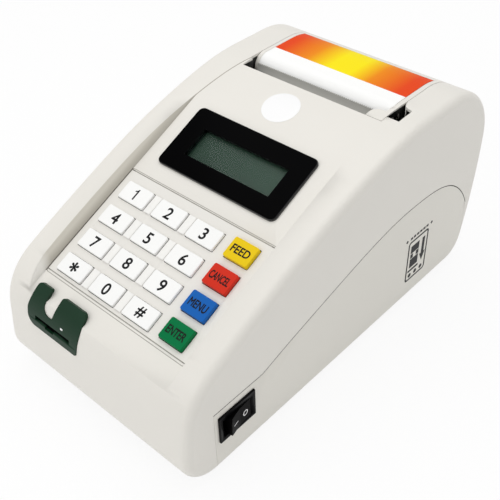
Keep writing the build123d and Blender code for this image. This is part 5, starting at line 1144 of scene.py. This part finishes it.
class REGISTER_OT_paper_path(Operator):
    """Lid, ticket, tear bar, roll and the well it lies in"""

    bl_idname = "register.paper_path"
    bl_label = "Paper path"

    def execute(self, context):
        scene = context.scene
        case, design = scene.register_case, scene.register_ticket
        ivory = moulding("ivory lid", case.cover, case.roughness, case.grain, dust=0.05)
        # Painted shade, near black, on the lid's side beside the finger notch.
        paint_shade_box(ivory, *SHADED_LID_SIDE)
        stand_for("paper_lid", "lid_shell", "lid", ivory)
        stand_for("ticket_strip", "ticket", "lid", self.ticket_material(design))
        steel = metal("tear bar steel", (0.74, 0.74, 0.72), roughness=0.5, stroke=2200.0, sheen=0.35)
        self.paint_teeth_shade(steel, design)
        stand_for("tear_bar", "tear_edge", "case", steel)
        dress_node("lid_hinge_pin", metal("bright pin", (0.66, 0.66, 0.67), roughness=0.22))
        stand_for("paper_roll", "roll", "roll", self.roll_material(design))
        kraft = moulding("kraft core", (0.34, 0.22, 0.12), roughness=0.8, grain=1400.0, depth=0.4, tone=0.12)
        dress_node("paper_core", kraft)
        grey = moulding("well plastic", case.inside, roughness=0.5, grain=case.grain)
        stand_for("paper_well", "roll_well", "case", grey)
        stand_for("roll_spindle", "roll_axle", "roll", grey)
        return {"FINISHED"}

    def paint_teeth_shade(self, material, design):
        """Painted shade of the tear bar: dark at its teeth, bright towards its foot."""
        tree, place, coat, tint = finish_of(material)
        climb = way_along(tree, split_vector(tree, place)["Z"], design.bar_low, design.bar_high)
        tree.links.new(mix_colours(tree, climb, tint, design.teeth), coat)

    def ticket_material(self, design):
        """White thermal paper whose rear part has a plain orange to yellow header."""
        material, tree, shader, place = start_material("printed ticket")
        fibre = noise(tree, place, 2400.0, 4.0)
        split = split_vector(tree, place)
        ramp = tree.nodes.new("ShaderNodeValToRGB")
        tree.links.new(way_along(tree, split["X"], design.left, design.right), ramp.inputs["Fac"])
        stops = [(at, getattr(design, tone)) for at, tone in HEADER_STOPS]
        while len(ramp.color_ramp.elements) < len(stops):
            ramp.color_ramp.elements.new(0.5)
        for element, (at, rgb) in zip(ramp.color_ramp.elements, stops):
            element.position = at
            element.color = (*rgb, 1)
        header = maths(tree, "GREATER_THAN", split["Y"], design.start_y)
        above = maths(tree, "GREATER_THAN", split["Z"], design.foot_z)
        printed = maths(tree, "MULTIPLY", header, above)
        paper = mix_colours(tree, fibre, scaled(design.paper, 0.975), scaled(design.paper, 1.01))
        tint = mix_colours(tree, printed, paper, ramp.outputs["Color"])
        tree.links.new(tint, shader.inputs["Base Color"])
        tree.links.new(ranged(tree, fibre, 0.42, 0.55), shader.inputs["Roughness"])
        shader.inputs["Specular IOR Level"].default_value = 0.1
        add_bump(tree, shader, fibre, 0.1, 0.02 * MM)
        return material

    def roll_material(self, design):
        """Wound paper: fine rings on the ends of the roll."""
        material, tree, shader, place = start_material("wound paper")
        low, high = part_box("paper_roll")
        middle = (low + high) / 2
        centre = tree.nodes.new("ShaderNodeMapping")
        centre.inputs["Location"].default_value = (0, -middle.y, -middle.z)
        centre.inputs["Scale"].default_value = (0, 1, 1)
        tree.links.new(place, centre.inputs["Vector"])
        radius = tree.nodes.new("ShaderNodeVectorMath")
        radius.operation = "LENGTH"
        tree.links.new(centre.outputs["Vector"], radius.inputs[0])
        winding = maths(tree, "SINE", maths(tree, "MULTIPLY", radius.outputs["Value"], WINDINGS))
        layer = ranged(tree, winding, 0.4, 1.0)
        tint = mix_colours(tree, layer, scaled(design.paper, 0.82), design.paper)
        tree.links.new(tint, shader.inputs["Base Color"])
        tree.links.new(ranged(tree, noise(tree, place, 1800.0), 0.5, 0.65), shader.inputs["Roughness"])
        add_bump(tree, shader, winding, 0.2, 0.03 * MM)
        return material


class REGISTER_OT_mechanism(Operator):
    """Print mechanism: frame, platen, gears, motor, head and springs"""

    bl_idname = "register.mechanism"
    bl_label = "Print mechanism"

    def execute(self, context):
        zinc = metal("black coated sheet", (0.030, 0.030, 0.032), roughness=0.5, stroke=700.0, sheen=0.2)
        bright = metal("turned steel", (0.66, 0.66, 0.67), roughness=0.22)
        stand_for("mechanism_frame", "print_frame", "case", zinc)
        stand_for("platen_shaft", "platen_axle", "platen", bright)
        stand_for("platen_sleeve", "platen_roller", "platen",
                  moulding("platen rubber", (0.03, 0.03, 0.03), roughness=0.7, grain=3000.0, depth=0.3))
        dress_node("platen_bushes", moulding("bush plastic", (0.02, 0.02, 0.022), roughness=0.45))
        acetal = moulding("gear acetal", (0.72, 0.70, 0.64), roughness=0.38, grain=2200.0, depth=0.1)
        for node in ("platen_gear", "reduction_gear"):
            dress_node(node, acetal)
        for node in ("reducer_stud", "head_pivot_rod", "head_springs"):
            dress_node(node, bright)
        dress_node("motor_pinion", metal("pinion brass", (0.72, 0.50, 0.18), roughness=0.25))
        can = metal("motor can", (0.45, 0.46, 0.47), roughness=0.3)
        stand_for("feed_motor", "motor_can", "case", can)
        ceramic = moulding("head ceramic", (0.16, 0.08, 0.05), roughness=0.2, grain=1500.0, depth=0.05)
        dress_node("print_head", ceramic)
        aluminium = metal("sink aluminium", (0.62, 0.63, 0.64), roughness=0.35, stroke=1200.0)
        dress_node("head_heat_sink", aluminium)
        return {"FINISHED"}


# Chips with legs on the main board: middle across and from the nose, width and depth, in millimetres.
LEGGED_CHIPS = {"processor": (0, 117, 20, 20), "memory": (24, 117, 12, 8), "driver": (-24, 113, 14, 10),
                "port": (10, 143, 10, 6)}
LEG_PITCH = 1.27                # from leg to leg, in millimetres
LEG_OUT = 0.6                   # middle of a leg from its chip's side, in millimetres
LEG_LIFT = 0.3                  # middle of a leg over the board, in millimetres
LEG_SIZE = {"Width": 1.6 * MM, "Length": 0.45 * MM, "Depth": 0.5 * MM}


class REGISTER_OT_boards(Operator):
    """Circuit boards, their parts, sockets and cells"""

    bl_idname = "register.boards"
    bl_label = "Boards and sockets"

    def execute(self, context):
        board = moulding("solder mask", (0.010, 0.10, 0.035), roughness=0.3, grain=300.0, depth=0.1,
                         tone=0.25)
        for node in ("main_board", "key_board"):
            dress_node(node, board)
        dress_node("key_mat", moulding("silicone mat", (0.50, 0.51, 0.53), roughness=0.6))
        dress_node("board_parts", moulding("chip epoxy", (0.015, 0.015, 0.017), roughness=0.5, grain=1500.0))
        self.make_legs()
        dress_node("sounder", moulding("sounder case", (0.012, 0.012, 0.013), roughness=0.4))
        socket = moulding("socket black", (0.01, 0.01, 0.01), roughness=0.4)
        stand_for("power_inlet", "inlet_socket", "case", socket)
        dress_node("data_port", metal("tinned shell", (0.66, 0.66, 0.65), roughness=0.25))
        stand_for("battery_pack", "cell_pack", "case",
                  moulding("cell wrap", (0.015, 0.07, 0.25), roughness=0.25, grain=400.0, depth=0.1))
        return {"FINISHED"}

    def make_legs(self):
        """Two rows of tinned legs at each chip, by the grid of blocks."""
        tin = metal("tinned legs", (0.60, 0.60, 0.58), roughness=0.35)
        nose, board_top = CAD_BOX[0][1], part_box("main_board")[1].z
        for name, (x, y, wide, deep) in LEGGED_CHIPS.items():
            rows = int(deep / LEG_PITCH) - 1
            values = {"Columns": 2, "Column pitch": (wide + 2 * LEG_OUT) * MM, "Rows": rows,
                      "Row pitch": LEG_PITCH * MM, "Material": tin, **LEG_SIZE}
            first = Vector((x - wide / 2 - LEG_OUT, y - (rows - 1) * LEG_PITCH / 2, LEG_LIFT)) * MM
            place = Matrix.Translation(first + Vector((0, nose, board_top)))
            settle(repeated(name + "_legs", "grid of blocks", place, values), "case", tin)


class REGISTER_OT_fixings(Operator):
    """Screws and rubber feet"""

    bl_idname = "register.fixings"
    bl_label = "Fixings"

    def execute(self, context):
        plated = metal("screw steel", (0.50, 0.50, 0.48), roughness=0.3)
        for node in ("case_screws", "mechanism_screws", "well_screws", "board_screws"):
            dress_node(node, plated)
        stand_for("rubber_feet", "desk_feet", "case",
                  moulding("foot rubber", (0.02, 0.02, 0.02), roughness=0.75, grain=1600.0, depth=0.5))
        return {"FINISHED"}


BADGE_RINGS, BADGE_SPOKES = 8, 48
RAY_TOP = 1.0                   # height, in metres, where the rays to the crown start
BADGE_FACES = {"top": 0.12 * MM, "foot": -0.1 * MM}     # heights over the crown


class REGISTER_OT_badge(Operator):
    """Blank round badge on the crown"""

    bl_idname = "register.badge"
    bl_label = "Badge"

    def execute(self, context):
        look = context.scene.register_badge
        shell = bpy.data.objects["cover_shell"]
        rings, spokes = BADGE_RINGS, BADGE_SPOKES
        swing = Matrix.Rotation(look.turn, 3, "Z")
        above = Vector((look.centre_x, look.centre_y, RAY_TOP))
        work = bmesh.new()
        layers = {}
        for side, lift in BADGE_FACES.items():
            for ring in range(rings + 1):
                for spoke in range(spokes if ring else 1):
                    way = 2 * math.pi * spoke / spokes
                    reach = Vector((look.across * math.cos(way), look.along * math.sin(way), 0))
                    start = above + swing @ reach * (ring / rings)
                    point, normal = shell.ray_cast(start, -UP)[1:3]
                    layers[side, ring, spoke] = work.verts.new(point + lift * normal)
        for spoke in range(spokes):
            after = (spoke + 1) % spokes
            for side in BADGE_FACES:
                work.faces.new((layers[side, 0, 0], layers[side, 1, spoke], layers[side, 1, after]))
                for ring in range(1, rings):
                    work.faces.new((layers[side, ring, spoke], layers[side, ring + 1, spoke],
                                    layers[side, ring + 1, after], layers[side, ring, after]))
            work.faces.new((layers["top", rings, spoke], layers["foot", rings, spoke],
                            layers["foot", rings, after], layers["top", rings, after]))
        bmesh.ops.recalc_face_normals(work, faces=work.faces)
        mesh = bpy.data.meshes.new("badge")
        work.to_mesh(mesh)
        work.free()
        badge = shade(new_object("blank_badge", mesh))
        vinyl = moulding("badge vinyl", look.white, roughness=0.22, grain=900.0, depth=0.04, tone=0.01)
        settle(badge, "case", vinyl)
        return {"FINISHED"}


# The card sign's terminal, card and arrow, as shares of its frame: left, right, foot and top of each block.
SIGN_BLOCKS = [(0.15, 0.56, 0.32, 0.54), (0.15, 0.28, 0.56, 0.66), (0.43, 0.56, 0.56, 0.66),
               (0.15, 0.56, 0.68, 0.86), (0.10, 0.62, 0.22, 0.27), (0.715, 0.845, 0.48, 0.86)]
SIGN_ARROW = [(0.64, 0.48), (0.78, 0.28), (0.92, 0.48)]
SIGN_LINE = 1.0 * MM            # width of its frame
SIGN_CORNERS = 1.1 * MM, 1.9 * MM       # of its frame, inside and outside
SIGN_DOTS = (0.22, 0.5, 0.78)   # shares of the width
SIGN_DOT_RADIUS = 1.3 * MM
SIGN_DOT_HEIGHT = 0.12          # share of the height
SIGN_DOT_CORNERS = 12
SIGN_BARS = 6                   # in a row over the frame
SIGN_BAR_START, SIGN_BAR_STEP, SIGN_BAR_WIDTH = 0.06, 0.155, 0.11
SIGN_BAR_LIFT = 1.4 * MM
SIGN_BAR_HEIGHT = 1.3 * MM
SIGN_DIAMOND_OUT = 1.8 * MM     # from the frame's sides, at either end of the row
SIGN_DIAMOND_LIFT = 0.6 * MM


class REGISTER_OT_card_sign(Operator):
    """Card sign printed on the right-hand side"""

    bl_idname = "register.card_sign"
    bl_label = "Card sign"

    def execute(self, context):
        look = context.scene.register_badge
        wide, tall = look.sign_width, look.sign_height
        place = Matrix.Translation((look.sign_x, look.sign_y, look.sign_z)) @ ON_SIDE
        line, (inside, outside) = SIGN_LINE, SIGN_CORNERS
        shapes = band(rounded_rectangle(line, wide - line, line, tall - line, inside),
                      rounded_rectangle(0, wide, 0, tall, outside))
        for left, right, foot, top in SIGN_BLOCKS:
            shapes.append(rectangle(left * wide, right * wide, foot * tall, top * tall))
        shapes.append([(u * wide, v * tall) for u, v in SIGN_ARROW])
        for u in SIGN_DOTS:
            shapes.append(circle_points(u * wide, SIGN_DOT_HEIGHT * tall, SIGN_DOT_RADIUS, SIGN_DOT_CORNERS))
        bar_foot = tall + SIGN_BAR_LIFT
        for step in range(SIGN_BARS):
            left = (SIGN_BAR_START + SIGN_BAR_STEP * step) * wide
            right = left + SIGN_BAR_WIDTH * wide
            shapes.append(rectangle(left, right, bar_foot, bar_foot + SIGN_BAR_HEIGHT))
        v = bar_foot + SIGN_DIAMOND_LIFT
        for u in (-SIGN_DIAMOND_OUT, wide + SIGN_DIAMOND_OUT):
            shapes.append([(u, v - MM), (u + MM, v), (u, v + MM), (u - MM, v)])
        sign = solid_from_outlines("card_sign", shapes, place, -PRINT_SINK, PRINT_THICK)
        settle(sign, "case", ink("sign ink", (0.012, 0.012, 0.013)))
        return {"FINISHED"}


# Place from the point looked at and disc size of each lamp, in metres; its power is a setting of its name.
LAMPS = {"overhead": ((-0.10, 0.12, 0.75), 0.9), "front": ((-0.25, -0.75, 0.45), 0.7),
         "side": ((0.75, -0.15, 0.30), 0.6)}
FLOOR_GLOW = 0.88               # share of the floor's own white that the camera sees


class REGISTER_OT_stage(Operator):
    """Floor, lamps, surroundings and camera"""

    bl_idname = "register.stage"
    bl_label = "Studio"

    def execute(self, context):
        studio = context.scene.register_studio
        self.make_floor(studio)
        self.make_surroundings(context.scene, studio)
        for name, (offset, size) in LAMPS.items():
            self.make_lamp(name, Vector(offset), size, studio)
        self.make_camera(context.scene, studio)
        context.scene.view_settings.view_transform = "Standard"
        return {"FINISHED"}

    def make_floor(self, studio):
        work = bmesh.new()
        bmesh.ops.create_grid(work, x_segments=1, y_segments=1, size=4.0)
        mesh = bpy.data.meshes.new("floor")
        work.to_mesh(mesh)
        work.free()
        floor = new_object("floor", mesh)
        material, tree, shader, place = start_material("pale floor")
        tint = mix_colours(tree, noise(tree, place, 4.0), scaled(studio.floor, 0.995), studio.floor)
        tree.links.new(tint, shader.inputs["Base Color"])
        shader.inputs["Roughness"].default_value = 0.7
        seen = tree.nodes.new("ShaderNodeLightPath")
        glow = tree.nodes.new("ShaderNodeEmission")
        glow.inputs["Strength"].default_value = 1.0
        either = maths(tree, "MAXIMUM", seen.outputs["Is Camera Ray"], seen.outputs["Is Glossy Ray"])
        either = maths(tree, "MAXIMUM", either, seen.outputs["Is Transmission Ray"])
        mixed = tree.nodes.new("ShaderNodeMixShader")
        tree.links.new(maths(tree, "MULTIPLY", either, FLOOR_GLOW), mixed.inputs["Fac"])
        tree.links.new(shader.outputs["BSDF"], mixed.inputs[1])
        tree.links.new(glow.outputs["Emission"], mixed.inputs[2])
        tree.links.new(mixed.outputs["Shader"], tree.nodes["Material Output"].inputs["Surface"])
        mesh.materials.append(material)

    def make_surroundings(self, scene, studio):
        world = bpy.data.worlds.new("studio")
        scene.world = world
        world.use_nodes = True
        tree = world.node_tree
        lit = tree.nodes["Background"]
        lit.inputs["Color"].default_value = (1, 1, 1, 1)
        lit.inputs["Strength"].default_value = studio.ambient
        shown = tree.nodes.new("ShaderNodeBackground")
        shown.inputs["Color"].default_value = (1, 1, 1, 1)
        shown.inputs["Strength"].default_value = 1.0
        seen = tree.nodes.new("ShaderNodeLightPath")
        mixed = tree.nodes.new("ShaderNodeMixShader")
        tree.links.new(seen.outputs["Is Camera Ray"], mixed.inputs["Fac"])
        tree.links.new(lit.outputs["Background"], mixed.inputs[1])
        tree.links.new(shown.outputs["Background"], mixed.inputs[2])
        tree.links.new(mixed.outputs["Shader"], tree.nodes["World Output"].inputs["Surface"])

    def make_lamp(self, name, offset, size, studio):
        lamp = bpy.data.lights.new(name, "AREA")
        lamp.shape = "DISK"
        lamp.size = size
        lamp.energy = getattr(studio, name)
        holder = bpy.data.objects.new(name, lamp)
        bpy.context.scene.collection.objects.link(holder)
        holder.location = Vector(studio.target) + offset
        holder.rotation_euler = (-offset).to_track_quat("-Z", "Y").to_euler()

    def make_camera(self, scene, studio):
        around, rise = studio.azimuth, studio.elevation
        flat = math.cos(rise)
        back = Vector((math.sin(around) * flat, -math.cos(around) * flat, math.sin(rise)))
        level = Vector((math.cos(around), math.sin(around), 0))
        steep = back.cross(level)
        turn = studio.roll
        right = math.cos(turn) * level + math.sin(turn) * steep
        up = math.cos(turn) * steep - math.sin(turn) * level
        place = Matrix((right, up, back)).transposed().to_4x4()
        place.translation = Vector(studio.target) + studio.distance * back
        lens = bpy.data.cameras.new("view")
        lens.lens = studio.lens
        lens.sensor_width = 36.0
        lens.clip_start = 0.01
        camera = bpy.data.objects.new("view", lens)
        scene.collection.objects.link(camera)
        camera.matrix_world = place
        scene.camera = camera


STEPS = (REGISTER_OT_case, REGISTER_OT_keys, REGISTER_OT_display, REGISTER_OT_reader, REGISTER_OT_switch,
         REGISTER_OT_paper_path, REGISTER_OT_mechanism, REGISTER_OT_boards, REGISTER_OT_fixings,
         REGISTER_OT_badge, REGISTER_OT_card_sign, REGISTER_OT_stage)


class REGISTER_PT_steps(Panel):
    """Lists the steps that dress the register"""

    bl_idname = "REGISTER_PT_steps"
    bl_label = "Ticket register"
    bl_space_type = "VIEW_3D"
    bl_region_type = "UI"
    bl_category = "Ticket register"

    def draw(self, context):
        for step in STEPS:
            self.layout.operator(step.bl_idname)


def register():
    for group in GROUPS.values():
        bpy.utils.register_class(group)
    for name, group in GROUPS.items():
        setattr(bpy.types.Scene, name, PointerProperty(type=group))
    for step in (*STEPS, REGISTER_PT_steps):
        bpy.utils.register_class(step)


def unregister():
    for step in reversed((*STEPS, REGISTER_PT_steps)):
        bpy.utils.unregister_class(step)
    for name, group in GROUPS.items():
        delattr(bpy.types.Scene, name)
        bpy.utils.unregister_class(group)


def main():
    register()
    make_groups()
    for step in STEPS:
        area, name = step.bl_idname.split(".")
        getattr(getattr(bpy.ops, area), name)()


if __name__ == "__main__":
    main()
